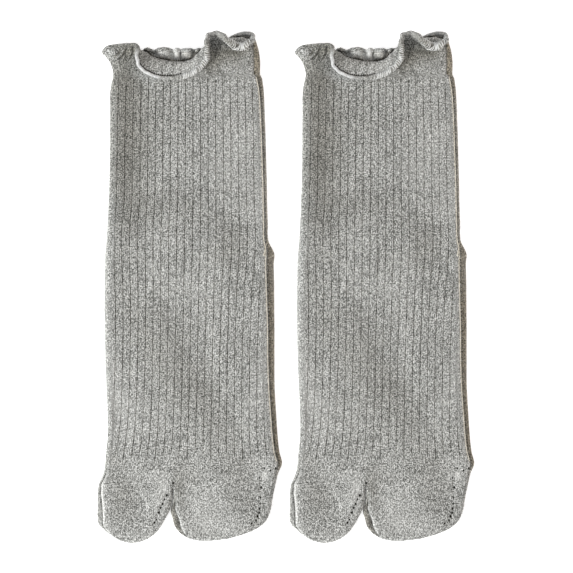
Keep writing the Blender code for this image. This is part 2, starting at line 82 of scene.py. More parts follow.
LEDGE_END, LEDGE_GAP, LEDGE_EDGE = 0.62, 0.60, 0.89    # t where these lie up a stepped side
LEDGE_THICK = 4.8           # a stepped side stops growing with the thickness here
SIDE_TURN = 0.25            # t where a side leaves the underside
SIDE_S = 0.07               # s that a side takes up from there to the face
UNDER_COLUMNS = 44
UNDER_SHARE = (np.arange(UNDER_COLUMNS) + 1) / (UNDER_COLUMNS + 1)
HOLLOW_TOP, HOLLOW_UNDER = 40, 24    # columns over and under the hollow
STAND_ROWS, LEAN_ROWS, FLAP_ROWS, ROLL_ROWS = 8, 9, 10, 13    # up the frill, one after another
FLECK_GAIN = 3.0            # contrast of the dark and light fibres
FACE_SEAM_END = -99.0       # y where the stitches along the face's right edge end
NAP_FROM = 1.4              # fibre ends stand off the knit from this height up
NAP_THIN_FROM = 119.0       # the frill is brushed less
NAP_DENSITY = 1.6e6         # fibre ends a square metre on an upright side
GATHER, GATHER_LENGTH = 0.30, 5.6    # of the frill's small waves
STITCH_DARK, PALE_LIFT = 0.28, 0.20  # painted shade under the roll's stitches, and painted highlight where it is palest
CREASE, EAR_CREASE = 0.30, 0.35      # depth of shade outside the roll, and more at the ear
EAR = 0.86                  # s in the middle of the turned ear
NECK_FROM, NECK_TO = 0.235, 0.47    # s along the gaps at the left of the neck, drawn as dark beads of painted shade
TOE_HOLLOW_ROW = 7          # row of a toe pocket's table where its hollow ends
TOE_WALE, FRILL_WALE = 40, 400      # where their knit starts, so that it repeats none of the face
BEHIND_FOLD = 0.95          # how far past the fold's top its painted shade on the layer behind stays darkest
GROOVE, WARM_SHADE, PALE, LIGHT_AND_SHADE = range(4)    # channels of the skin's painted shade and light


# ---------------------------------------------------------------- tables of the sock's form
def table(kind, rows):
    return [kind(*row) for row in rows]


Section = namedtuple("Section", "y left right thick heel step_l step_r lip")
SECTIONS = table(Section, (
    (117, -43.6, 40.4, 4.4, 0, 0, 0.9, 3), (109.8, -45, 41.3, 4.4, 0, 0, 0.8, 2.6),
    (98, -45.1, 41.8, 4.5, 0, 0, 0.6, 2.3), (85, -45.2, 42.3, 4.5, 0, 0, 0.6, 2.2),
    (72, -45.3, 42.6, 4.5, 0, 0, 0.6, 2), (59, -45.5, 43, 4.5, 0, 0, 0.6, 1.9),
    (47, -46, 43.2, 4.7, 0.2, 0, 0.6, 1.8), (36, -46.4, 43.5, 5.4, 0.9, 0, 0.7, 1.8),
    (26, -46.9, 43.8, 6.3, 1.8, 0, 0.8, 1.9), (18.6, -47.6, 47.2, 6.5, 2.1, 0, 1, 4.3),
    (13, -47.9, 46.9, 6.5, 2.1, 0, 1, 4.2), (2, -48, 47.1, 6.2, 1.7, 0, 1, 4.1),
    (-11, -48.2, 47.2, 5.2, 0.7, 0, 1, 3.8), (-24, -48.1, 47.3, 4.6, 0.1, 0, 1, 3.5),
    (-40, -47.8, 47.3, 4.5, 0, 0, 1, 3.4), (-56, -47.2, 47.4, 4.5, 0, 0, 1, 3),
    (-72, -46.5, 48.3, 4.5, 0, 0, 1, 2.8), (-84, -46.5, 49.1, 4.5, 0, 0, 1, 2.7),
    (-93, -47.4, 50.1, 4.5, 0, 0, 1, 2.6), (-99.5, -47.9, 51.6, 4.5, 0, 0, 0.9, 2.6),
    (-105, -48.9, 49.4, 4.5, 0, 0.5, 0.3, 2), (-110.9, -51.5, 48, 4.5, 0, 0.9, 0, 1.6),
))

Toe = namedtuple("Toe", "y left right thick step_l lip")
BIG_TOE = table(Toe, (
    (-110.9, -51.5, -9.5, 4.5, 0.9, 1.7), (-115.5, -52.3, -9.6, 4.5, 1, 2.2),
    (-121, -52.4, -10.2, 4.5, 1, 2.8), (-126, -52.4, -11.6, 4.5, 1, 3.2),
    (-130.5, -52.4, -14.1, 4.5, 0.9, 3.5), (-134.3, -51.1, -16.2, 4.4, 0.5, 3.2),
    (-137.5, -47.5, -18.6, 4.3, 0.1, 2.4), (-140.5, -43.6, -21.8, 4, 0, 2),
    (-142.8, -39.6, -25.8, 3.4, 0, 2), (-144, -35.6, -29.8, 2.2, 0, 2),
))
OTHER_TOES = table(Toe, (
    (-110.9, -9.5, 48, 4.5, 0, 2.2), (-115.5, -9.5, 46.9, 4.5, 0.1, 2.2),
    (-121, -10.1, 46, 4.5, 0.4, 2.4), (-126, -11.1, 45, 4.5, 0.9, 3.1),
    (-130.5, -10, 43.2, 4.5, 1, 3.7), (-134.3, -9.1, 39.9, 4.4, 1, 3.7),
    (-137.4, -7.1, 34.8, 4.2, 0.8, 3.3), (-139.9, -4.1, 27.8, 3.8, 0.4, 2.4),
    (-141.8, -0.2, 20.6, 3.2, 0.1, 2), (-142.9, 4, 12.8, 2.1, 0, 2),
))

Fold = namedtuple("Fold", "s x rise lean flap bow roll")
FRILL = table(Fold, (
    # left corner
    (0, -48.4, 125.4, 14, 5.8, 0, 0.9), (0.045, -45.6, 126.2, 24, 7.4, 0.4, 0.9),
    (0.095, -40.4, 127.2, 14, 7.2, 0, 0.95), (0.145, -33.74, 127.71, 24, 7.08, 0.5, 1.1),
    # the flopped middle starts
    (0.19, -28.4, 128.4, 60.2, 6.9, 1.4, 1.15), (0.225, -28.8, 129.6, 90, 6.9, 2.15, 1.1),
    (0.26, -28.2, 128.4, 147.5, 6.6, 2.5, 1.05), (0.305, -24.6, 126.6, 170.6, 7.1, 0.5, 1.05),
    (0.36, -17.4, 124.9, 180, 7.8, 0.1, 1.1), (0.42, -10.4, 124, 180, 7.3, 0, 1.25),
    (0.475, -4.2, 123.9, 180, 6.5, 0, 1.5), (0.525, 1.6, 125.5, 180, 6.2, 0, 1.5),
    (0.57, 6.6, 129.2, 180, 6.4, -0.9, 1.5), (0.61, 9.86, 132.8, 166.98, 5.8, -1.2, 1.5),
    (0.645, 9.73, 135.53, 128.81, 4.95, -1.5, 1.35),
    # the flopped middle ends
    (0.68, 9.89, 135.6, 81.87, 4.61, -1.23, 1.3), (0.71, 10.8, 136.41, 56.43, 4.34, -0.5, 1.3),
    (0.75, 15.6, 136.4, 44, 5, 0.24, 1.48),
    # the turned ear
    (0.79, 20.2, 136.4, 92, 5, 0, 1.6), (0.83, 24, 137, 140, 4.4, 0, 2),
    (0.88, 28.6, 137.1, 175.2, 3.6, 0, 2.2), (0.93, 31.9, 136.4, 132.8, 4.2, -0.4, 1.7),
    (0.975, 34.7, 135.5, 88.1, 4.2, 0.7, 1.4),
    # right corner
    (1.02, 35.1, 136.3, 40.3, 4, 1.2, 1.3), (1.07, 33, 137.5, 38.1, 4.4, 1.2, 1.2),
    (1.13, 25.9, 136.4, 12.7, 4.3, 0.1, 1.3), (1.2, 19, 131, 10, 6, 0, 1.2),
    (1.28, 12.8, 128, 8, 5.4, 0, 1.2),
    # ruffles of the back layer
    (1.345, 9, 127, 10, 6.3, 0, 1.2), (1.38, 6.6, 126.4, 8, 6.2, 0, 1.2),
    (1.412, 4.8, 126, 20, 6.6, 0, 1.2), (1.446, 2.4, 125.8, 8, 6.3, 0, 1.2),
    (1.492, -1.6, 126.2, 46, 6.8, 0, 1.2), (1.538, -5.6, 125.4, 8, 6.5, 0, 1.2),
    (1.566, -7.4, 126.2, 42, 6.8, 0, 1.2), (1.594, -9.2, 125.2, 8, 6.5, 0, 1.2),
    (1.655, -14.8, 126.8, 52, 7.2, 0, 1.2), (1.716, -20.6, 125, 8, 6.6, 0, 1.2),
    (1.752, -23.8, 125.8, 32, 7.2, 0, 1.2), (1.79, -27, 124.8, 8, 6.8, 0, 1.1),
    (1.87, -37.8, 124.6, 9, 6, 0, 1), (1.95, -45.6, 124.4, 10, 6, 0.4, 0.9),
))
FRILL_SPANS = [(0.06, 14), (0.18, 24), (0.30, 36), (0.56, 44), (0.70, 36), (0.84, 36),
               (0.92, 18), (1.06, 30), (1.32, 36), (1.78, 110), (1.94, 18), (2.0, 12)]

# Round the rolled edge: how pale it is, as a painted highlight, how plain its stitches show, how
# deep the painted shade in the crease on its inner side, and the painted light and shade of the
# wall's inside next to it and where the wall folds over.
Edge = namedtuple("Edge", "s pale stitch crease inside fold")
EDGES = table(Edge, (
    (0, 0, 0, 0.05, 0, 0), (0.13, 0, 0, 0.05, 0, 0), (0.19, 0.15, 0.1, 0.2, 0, 0),
    (0.24, 1, 0, 0.8, -0.05, 0), (0.33, 1.1, 0, 0.8, 0, 0), (0.38, 0.55, 0.1, 0.7, 0.02, 0),
    (0.43, 0.3, 0.3, 0.6, 0.05, 0), (0.47, 0.6, 0.9, 0.25, 0.1, 0), (0.52, 0.7, 1, 0.1, 0.14, 0),
    (0.6, 0.6, 1, 0.1, 0.14, 0), (0.65, 0.3, 0.6, 0.2, 0, 0), (0.7, 0.45, 0.2, 0.45, -0.2, -0.2),
    (0.76, 0.4, 0.5, 0.25, 0.05, -0.1), (0.8, 0.4, 0.8, 0.1, 0.12, -0.05),
    (0.87, 0.3, 0.8, 0.1, 0.1, -0.05), (0.94, 0.3, 0.8, 0.1, 0.12, -0.1),
    (1, 0.45, 0.5, 0.1, 0.25, -0.05), (1.1, 0.7, 0.4, 0.05, 0.35, 0), (1.2, 0.1, 0.2, 0.3, 0.28, 0),
    (1.5, 0.1, 0.1, 0.35, 0.28, 0), (1.535, 0.1, 0.1, 0.35, 0.1, 0), (1.55, 1.2, 0.8, 0.05, 0.4, 0),
    (1.58, 1.4, 0.9, 0.05, 0.55, 0), (1.6, 0.1, 0.2, 0.35, 0.28, 0), (1.75, 0.1, 0.1, 0.35, 0.3, 0),
    (1.9, 0, 0, 0.05, 0, 0),
))

# Where the front folds over, and the faint shade, the dark and its reach behind it.
Over = namedtuple("Over", "s_from s_to faint dark reach")
FOLDS_OVER = table(Over, ((0.20, 0.68, 0.06, 1.0, 0.42), (0.80, 0.96, 0.00, 1.0, 0.45)))

# Where the middle groove runs across the sock, and the rib pitch, down the leg and the foot.
Rib = namedtuple("Rib", "y middle pitch")
RIBS = table(Rib, (
    (117, -2.5, 4.15), (107, -2.6, 4.17), (87.4, -2.6, 4.23), (48.2, -2.7, 4.29),
    (31.4, -2.97, 4.4), (14.6, -3.14, 4.36), (-2.2, -3.58, 4.24), (-19, -3.86, 4.21),
    (-35.8, -4.26, 4.18), (-61, -4.7, 4.21), (-80.6, -5.38, 4.27), (-94.6, -6.2, 4.45),
    (-110.9, -7.3, 4.62),
))

# The side of a sock, from the underside round its outermost point up to the face: distance
# in from the side and height, plain_in and both rises as shares of the thickness, step_in in
# millimetres with lips counting the width of the under layer that shows.
Side = namedtuple("Side", "t plain_in plain_rise step_in lips step_rise")
SIDE = table(Side, (
    (0, 0.5, 0, 1.9, 0, 0), (0.08, 0.24, 0.05, 0.8, 0, 0.03), (0.16, 0.06, 0.22, 0.15, 0, 0.12),
    (0.25, 0, 0.42, 0, 0, 0.25), (0.33, 0.03, 0.58, 0.22, 0, 0.38),
    (0.41, 0.1, 0.72, 0.85, 0, 0.46), (0.49, 0.19, 0.82, -0.95, 1, 0.46),
    (0.56, 0.28, 0.88, -0.3, 1, 0.4), (0.63, 0.38, 0.93, 0.1, 1, 0.22),
    (0.7, 0.46, 0.955, 0.15, 1, 0.42), (0.77, 0.55, 0.975, 0.05, 1, 0.66),
    (0.85, 0.65, 0.99, 0.4, 1, 0.84), (0.93, 0.74, 1, 1.1, 1, 0.96), (1, 0.82, 1, 2.2, 1, 1),
))

# Painted light and shade of a side where the under layer shows, warmer and darker on a shaded side:
# the layer's painted warm shade and tone, the painted shade in the gap over it and the painted
# highlight along the face's edge.
Ledge = namedtuple("Ledge", "tint layer gap edge")
LEDGES = {
    "lit": Ledge(0.10, 0.06, -0.80, 0.42),
    "shaded": Ledge(1.00, 0.02, -0.60, 0.10),
    "between the toes": Ledge(0.30, -0.30, -0.85, 0.25),
}

# Soft hills and hollows of the face: place, half length, half width, turn from +X, height.
Swell = namedtuple("Swell", "x y length width turn rise")
SWELLS = table(Swell, (
    (-42, 80, 50, 6.5, 90, 1), (-26.5, 78, 46, 9, 90, -1.1), (-38, 26, 12, 5, 2, 0.5),
    (-10, 58, 24, 9, 0, -0.5), (-8, 27, 26, 9, 5, 0.4), (14, 92, 26, 16, 96, 0.5),
    (28, 36.4, 14, 6, -6, -0.9), (14, 23, 12, 8, 90, 0.7), (34, 20, 14, 6, 88, -0.6),
    (-4.8, -53.2, 46, 8, 116.8, 0.8), (11.5, -51.2, 46, 8.5, 117.3, -0.9),
    (-22, -74, 12, 7, 84, 0.5), (-41, -72, 15, 6, 86, -0.5), (-29.5, -121, 12, 6, 96, -0.6),
    (-14.5, -120, 10, 5, 90, 0.5), (-44, -119, 10, 6, 92, 0.3), (21, -116, 19, 9, 97, 0.8),
    (-2, -120, 13, 7, 88, -0.5), (38, -120, 12, 6, 80, -0.4),
))

# Painted light and shade over the knit, patches lighter or darker where light falls on it or shade
# lies: the same, with the change of tone for the height.
PAINTED_LIGHT_AND_SHADE = table(Swell, (
    (-38, 88, 56, 12, 90, -0.34), (-34, 121, 12, 14, 90, -0.15), (20, 131, 14, 7.5, -30, -0.36),
    (28, 119.5, 13, 5, 0, 0.1), (-36, 131, 5, 4, 60, -0.26), (-44, 131.5, 4.5, 3, 150, 0.22),
    (-18, 104, 34, 9, 90, -0.07), (12.5, 124.2, 7.5, 5, 60, -0.38), (-8, 116.3, 12, 1.1, 0, -0.2),
    (4.6, 121, 12, 3.4, 48, 0.03), (-8, 100, 12, 5, 90, -0.06), (-10, 118.5, 14, 2.2, 0, 0.1),
    (0, -51, 46, 11, 117, -0.13), (-22, -34, 44, 7.5, 118, -0.13), (2, -37.5, 5, 5, 0, 0.09),
    (24, 22, 14, 8, 84, -0.14), (-13, 46, 26, 10, 0, -0.1), (-36, -70, 18, 8, 90, 0.09),
    (-12, 6, 20, 10, 0, 0.02), (24, 80, 34, 16, 84, 0.07), (34, 45, 12, 8, 80, 0.09),
    (33, -74, 16, 6, 92, 0.03), (-6.5, -114, 13, 4, 92, -0.22), (-14.5, -113, 9, 3.4, 88, 0.18),
    (27, -110, 18, 10, 97, -0.08), (-38, -117, 12, 8, 95, -0.16), (-20, -125, 10, 6, 96, 0.03),
    (8, -128, 12, 10, 92, 0.09), (-28, -142, 20, 3, 0, -0.02), (10, -141, 24, 3, 4, -0.02),
    (-49, -119, 15, 3, 90, 0.12), (-44, -97, 6, 5, 0, -0.14), (-1.5, -107, 7, 6, 0, -0.1),
    (8, 108, 24, 6, 0, 0.03), (-46.8, 20, 70, 2.4, 90, 0.12), (-42, 84, 18, 4, 90, 0.08),
    (-42, 45, 7, 4.5, 90, 0.16), (-42, -56, 16, 4.5, 90, 0.1), (-27, 82, 30, 7, 90, -0.08),
    (9, 16, 12, 6, 20, -0.08), (-18, -1.5, 9, 7, 0, 0.09), (16, 66, 12, 7, 90, 0.04),
    (-24, 118, 10, 4.5, -50, 0.22), (-30.5, 133, 3.5, 3, 0, -0.4), (7.5, 125, 6, 2.5, 50, -0.15),
    (45.5, 8, 14, 3, 90, 0.12), (40, -50, 16, 6, 90, 0.09), (14, -2, 10, 6, 0, 0.07),
    (-20, -76, 10, 6, 0, 0.06), (27, 131.6, 6, 2.2, 0, -0.4), (41.8, -105.8, 2.4, 1.5, 80, 0.4),
    (37.4, -130.6, 5, 2.6, 60, -0.16), (21, -132, 20, 5, 10, 0.06),
))

# Seams where the toe pockets are shaped, as points along them.
Spot = namedtuple("Spot", "x y")
TOE_GORE = table(Spot, (
    (48.4, -99.6), (45.2, -103.2), (42.4, -104.6), (40.2, -107.6), (39.2, -112.4), (39.4, -118.2),
    (39.2, -123), (37.8, -129), (34.6, -133.2),
))
BIG_TOE_GORE = table(Spot, (
    (-12.6, -114.6), (-13.8, -118.6), (-15.4, -122), (-17, -125.6), (-18.6, -130.2),
    (-20.2, -133.6),
))

# Short pleats of the standing end of the frill, and the seam that turns the heel's corner.
PLEATS = [table(Spot, line) for line in (
    ((-35.1, 134.4), (-35.6, 132.4), (-37.4, 129.6), (-39.3, 127.6)),
    ((-38.8, 132.4), (-40.2, 130), (-42.2, 128.4)),
    ((-31.6, 133.8), (-32, 130.8), (-33.4, 127.8)))]
HEEL_SEAMS = [table(Spot, line) for line in (((42.6, 24), (42, 20.7), (41.5, 17.6)),
                                             ((42.8, 15.2), (44.4, 16.2), (46.4, 17.2)))]

# Small gaps in the knit where the toe pockets are shaped, at the crotch between them and beside the
# neck, and the smaller ones of dropped stitches in the leg. Each is drawn dark, the shade in it
# painted.
EYELETS = table(Spot, (
    (47.9, -101.9), (45.1, -103), (41.7, -101.9), (38.9, -107.2), (40, -112.6), (39.5, -118.2),
    (39.4, -121.5), (38.9, -124.3), (38.8, -126.8), (37.8, -128.8), (37, -131), (34.4, -132.7),
    (-13, -117), (-14.3, -119.1), (-15.3, -121.7), (-16.4, -123.9), (-17.4, -126.6),
    (-18.8, -130.5), (-19.9, -132.2), (-9.7, -109.9), (-9.3, -110.1), (3.4, 130.6), (4.4, 131.1),
    (5.3, 131.7),
))
DROPPED = table(Spot, ((-7.9, 61.5), (6.1, 75.1), (14.4, 95)))


# ---------------------------------------------------------------- curves
def ease(t):
    t = np.clip(t, 0.0, 1.0)
    return t * t * (3 - 2 * t)


def mix(a, b, t):
    return a + (b - a) * t


def hump(x, at, width):
    """1 at a place, falling away on both sides of it."""
    return np.exp(-((x - at) / width) ** 2)


def along(rows, name, at):
    """A table's named column at values of its first one, smooth between the rows. A table by s
    runs round the mouth, so it goes on from its end to its start."""
    keys, values = np.array([(row[0], getattr(row, name)) for row in rows], float).T
    at = np.asarray(at, float)
    if keys[0] > keys[-1]:
        keys, at = -keys, -at
    if hasattr(rows[0], "s"):
        keys = np.hstack([keys[-2:] - ROUND, keys, keys[:2] + ROUND])
        values = np.hstack([values[-2:], values, values[:2]])
        at = at % ROUND
    at = np.clip(at, keys[0], keys[-1])
    i = np.clip(np.searchsorted(keys, at, side="right") - 1, 0, len(keys) - 2)
    lo = np.maximum(np.arange(len(keys)) - 1, 0)
    hi = np.minimum(np.arange(len(keys)) + 1, len(keys) - 1)
    slope = (values[hi] - values[lo]) / (keys[hi] - keys[lo])
    span = keys[i + 1] - keys[i]
    t = (at - keys[i]) / span
    t2, t3 = t * t, t * t * t
    return ((2 * t3 - 3 * t2 + 1) * values[i] + (t3 - 2 * t2 + t) * span * slope[i]
            + (3 * t2 - 2 * t3) * values[i + 1] + (t3 - t2) * span * slope[i + 1])


def row_at(rows, at):
    """A row of a table worked out at values of its first column."""
    kind = type(rows[0])
    return kind(at, *(along(rows, name, at) for name in kind._fields[1:]))


def wander(x, y, size, seed):
    """Smooth unevenness between -1 and 1 with hills about size across."""
    u, v = np.asarray(x, float) / size, np.asarray(y, float) / size
    i, j = np.floor(u), np.floor(v)

    def height(a, b):
        n = np.sin(a * 127.1 + b * 311.7 + seed * 74.7) * 43758.5453
        return (n - np.floor(n)) * 2 - 1

    fu, fv = ease(u - i), ease(v - j)
    low = mix(height(i, j), height(i + 1, j), fu)
    high = mix(height(i, j + 1), height(i + 1, j + 1), fu)
    return mix(low, high, fv)


def hills(rows, x, y):
    """Sum of soft hills and hollows."""
    total = 0.0
    for w in rows:
        turn = math.radians(w.turn)
        run = (x - w.x) * math.cos(turn) + (y - w.y) * math.sin(turn)
        across = (y - w.y) * math.cos(turn) - (x - w.x) * math.sin(turn)
        total = total + w.rise * np.exp(-((run / w.length) ** 2) - (across / w.width) ** 2)
    return total


def gap_to(spots, x, y):
    """Distance from points to a seam."""
    best = np.full(np.broadcast(x, y).shape, 1e6)
    for a, b in zip(spots, spots[1:]):
        run = (b.x - a.x, b.y - a.y)
        t = np.clip(((x - a.x) * run[0] + (y - a.y) * run[1]) / (run[0] ** 2 + run[1] ** 2), 0, 1)
        best = np.minimum(best, np.hypot(x - a.x - t * run[0], y - a.y - t * run[1]))
    return best


def swell_height(x, y):
    """Height of the soft unevenness, the puckers and the toe seams over the plain face."""
    total = 0.16 * wander(x, y, 9.0, 3) + 0.10 * wander(x, y, 4.5, 8) + hills(SWELLS, x, y)
    for seam in (TOE_GORE, BIG_TOE_GORE):
        gap = gap_to(seam, x, y)
        total = total + 0.18 * hump(gap, 1.3, 0.8) - 0.30 * hump(gap, 0, 0.7)
    return total


def lengths(points, axis):
    """Running length along one axis of a grid of points."""
    step = np.linalg.norm(np.diff(points, axis=axis), axis=-1)
    first = np.zeros_like(np.take(step, [0], axis=axis))
    return np.concatenate([first, np.cumsum(step, axis=axis)], axis=axis)


def stacked(*columns):
    """Points or a knit map from their coordinates."""
    return np.stack(np.broadcast_arrays(*columns), axis=-1)


def own(points):
    """Points from a sock's millimetres to the model's metres, before its shift to a side."""
    return (np.asarray(points, float) - np.array(CENTRE)) * MM


def wrapped(rings):
    """Rings with their first column once more at the end."""
    return np.hstack([rings, rings[:, :1]])


class Skin:
    """One closed cloth surface in patches, each with its points, knit map, shade and whether
    it lies outside."""

    def __init__(self):
        self.patches, self.faces, self.count, self.is_outside = [], [], 0, 1.0

    def add(self, points, uv, shade):
        flat = points.reshape(-1, 3)
        index = self.count + np.arange(len(flat))
        self.patches.append((flat, uv.reshape(-1, 2), shade.reshape(-1, 4),
                             np.full(len(flat), self.is_outside)))
        self.count += len(flat)
        return index.reshape(points.shape[:-1])

    def grid(self, rings, uv, shade, flip=False):
        """A patch of closed rings; the knit map has one more column, where they close."""
        index = self.add(wrapped(rings), uv, wrapped(shade))
        a, b = index[:-1, :-1].ravel(), index[:-1, 1:].ravel()
        c, d = index[1:, 1:].ravel(), index[1:, :-1].ravel()
        self.faces += np.stack([a, b, c, d] if flip else [d, c, b, a], axis=1).tolist()
        return index[:, :-1]

    def cap(self, ring, past, uv, shade, flip=False):
        """Closes a ring at a point a little past its middle."""
        middle = ring.mean(axis=0) - np.array([0.0, past, 0.0])
        index = self.add(np.vstack([ring, ring[:1], middle]), np.vstack([uv, uv.mean(axis=0)]),
                         np.vstack([shade, shade[:1], shade[:1]]))
        for a, b in zip(index[:-2], index[1:-1]):
            self.faces.append([a, b, index[-1]] if flip else [b, a, index[-1]])

    def between(self, s_a, a, s_b, b):
        """Faces between two closed rings of unlike counts, matched by s."""
        i = j = 0
        while i < len(a) or j < len(b):
            next_a, next_b = (i + 1) % len(a), (j + 1) % len(b)
            s_i = s_a[next_a] + ROUND * (i + 1 >= len(a))
            s_j = s_b[next_b] + ROUND * (j + 1 >= len(b))
            face = [a[i % len(a)], a[next_a], b[j % len(b)]]
            if j >= len(b) or (i < len(a) and s_i < s_j):
                i += 1
            else:
                face[1] = b[next_b]
                j += 1
            self.faces.append(face)


# ---------------------------------------------------------------- the tube and its toe pockets
def side_curve(row, step):
    """Distance in from the side and height, from the underside up to the face."""
    t, side = SIDE_T, row_at(SIDE, SIDE_T)
    thick, lip, step = row.thick[:, None], row.lip[:, None], step[:, None]
    base = np.minimum(thick, LEDGE_THICK)
    step_z = side.step_rise * base + np.where(t < 0.66, 0.0, (thick - base) * ease((t - 0.63) / 0.2))
    rise = np.maximum(mix(side.plain_rise * thick, step_z, step), 0.0)
    return mix(side.plain_in * thick * 0.8, side.step_in + side.lips * lip, step), rise


def sides(row, step_r, grow_l=1.0, grow_r=1.0):
    """x and height of the columns up the left side, and of those up the right side."""
    in_l, z_l = side_curve(row, row.step_l)
    in_r, z_r = side_curve(row, step_r)
    return row.left[:, None] + in_l * grow_l, z_l, row.right[:, None] - in_r * grow_r, z_r


def stepped_shade(shade, ledge, step, turn=1):
    """Painted warm shade, light and shade up a side, as far as its under layer shows."""
    for channel, up in zip((WARM_SHADE, LIGHT_AND_SHADE), ledge_shade(LEDGES[ledge])):
        shade[..., channel] = up[UP - shade.shape[1]:][::turn] * np.clip(step, 0, 1)[:, None]


def ledge_shade(ledge):
    """Up a stepped side: how much is the under layer, and the painted light and shade at each point.
    """
    t = SIDE_T[:-1]
    under = np.clip((LEDGE_END - t) * 12, 0, 1)
    gap, edge = hump(t, LEDGE_GAP, 0.06), hump(t, LEDGE_EDGE, 0.06)
    return under * ledge.tint, under * ledge.layer * (1 - gap) + gap * ledge.gap + edge * ledge.edge


def as_rings(y, x_parts, z_parts):
    """Rings of points, one for each y, from columns of x and of z side by side."""
    return stacked(np.hstack(x_parts), y[:, None], np.hstack(z_parts))


def squeezed(x, x_from, x_to, soft=2.0):
    """Columns drawn together as they near the two edges of the face, and how far."""
    over = np.maximum(x - (x_to - soft), 0.0)
    under = np.maximum((x_from + soft) - x, 0.0)
    kept = np.exp(-over / soft) * np.exp(-under / soft)
    x = np.where(over > 0, x_to - soft * np.exp(-over / soft), x)
    return np.where(under > 0, x_from + soft * np.exp(-under / soft), x), kept


def to_crotch(x, y, reach):
    """Columns drawn over near the toes so that one ends at the crotch, and which one."""
    column = int(np.argmin(np.abs(x[-1] - CROTCH_X)))
    pull = hump(np.arange(x.shape[1]), column, reach)[None, :]
    late = ease((CROTCH_PULL_FROM - y) / 15.0)[:, None]
    return x + (CROTCH_X - x[-1, column]) * pull * late, column


def face_heights(x, y, thick, ribs, kept):
    """Heights of the face with its ribs, and the depth of shade down in the grooves."""
    nearest = np.round(ribs)
    top = TUBE_TOP - 0.6 + 1.2 * np.sin(nearest * 2.3) + 2.4 * (nearest > 2)
    end = GROOVES_END - 2.6 * np.sin(nearest * 1.7 + 0.6)
    uneven = 0.80 + 0.30 * wander(nearest * 7.3, y, 6.0, 1) + 0.22 * wander(nearest * 3.1, y, 2.2, 5)
    live = ease((top - y) / 1.2) * ease((y - end) / 3.5)
    live = live * np.clip(uneven, 0.25, 1.15) * (1.0 + 0.2 * ease((y - 92.0) / 14.0))
    open_up = np.clip(kept * 1.4, 0.0, 1.0)
    # the relief ends at the mouth, while the shade goes on past it at the right
    sunk = hump(ribs, nearest, GROOVE_WIDTH) * (live * ease((TUBE_TOP - y) / 1.2))
    z = thick + kept ** 0.25 * swell_height(x, y) - GROOVE_DEPTH * sunk * open_up
    return z, hump(ribs, nearest, GROOVE_SHADE) * live * open_up


def knit_map(points, face):
    """Wale and course of each point; over the face the wales follow the ribs."""
    closed = wrapped(points)
    around = lengths(closed, 1) / WALE
    past = UP + len(face)
    wale = np.hstack([face[0] - (around[:, UP:UP + 1] - around[:, :UP]),
                      np.broadcast_to(face, (len(points), len(face))),
                      face[-1] + (around[:, past:] - around[:, past - 1:past])])
    return stacked(wale, (TUBE_TOP - closed[..., 1]) / COURSE)


def sock_skin():
    """The cloth's outside from the mouth to the toes, and the tube's rings of points."""
    skin = Skin()
    ribs = np.array([rib + step for rib in range(FIRST_RIB, LAST_RIB) for step in RIB_STEPS])
    y = np.concatenate([np.arange(TUBE_TOP, CROTCH_Y + 0.4, -ROW_STEP), [CROTCH_Y]])
    row = row_at(SECTIONS, y)
    x_l, z_l, x_r, z_r = sides(row, row.step_r)
    rib = row_at(RIBS, y)
    natural = (rib.middle + RIB_SHIFT)[:, None] + ribs * rib.pitch[:, None]
    x, kept = squeezed(natural, x_l[:, -1:], x_r[:, -1:])
    x, over = to_crotch(x, y, 8.0)
    z, groove = face_heights(x, y[:, None], row.thick[:, None], ribs[None, :], kept)
    x_under, under = to_crotch(mix(x_r[:, :1], x_l[:, :1], UNDER_SHARE), y, 5.0)
    points = as_rings(y, [x_l[:, :-1], x, x_r[:, -2::-1], x_under],
                      [z_l[:, :-1], z, z_r[:, -2::-1], np.zeros_like(x_under)])
    past = UP + len(ribs)
    shade = np.zeros(points.shape[:2] + (4,))
    shade[:, UP:past, GROOVE] = groove
    stepped_shade(shade[:, :UP], "lit", row.step_l)
    stepped_shade(shade[:, past:past + UP], "shaded", row.step_r, -1)
    # painted warm shade on the underside
    shade[:, past + UP:, WARM_SHADE] = 1.0
    skin.grid(points, knit_map(points, ribs * WALES_A_RIB), shade)

    # the two toe pockets share the short bridge at the crotch
    bridge_z = side_curve(Section(*(column[-1:] for column in row)), np.zeros(1))[1][0]
    bulge = CROTCH_BULGE * np.sin(math.pi * np.clip(bridge_z / bridge_z[-1], 0, 1))
    bridge = stacked(CROTCH_X, CROTCH_Y - bulge, bridge_z)[1:-1]
    for rows in (BIG_TOE, OTHER_TOES):
        toe_pocket(skin, rows, points[-1], bridge, UP + over, past + UP + under, past)
    return skin, points


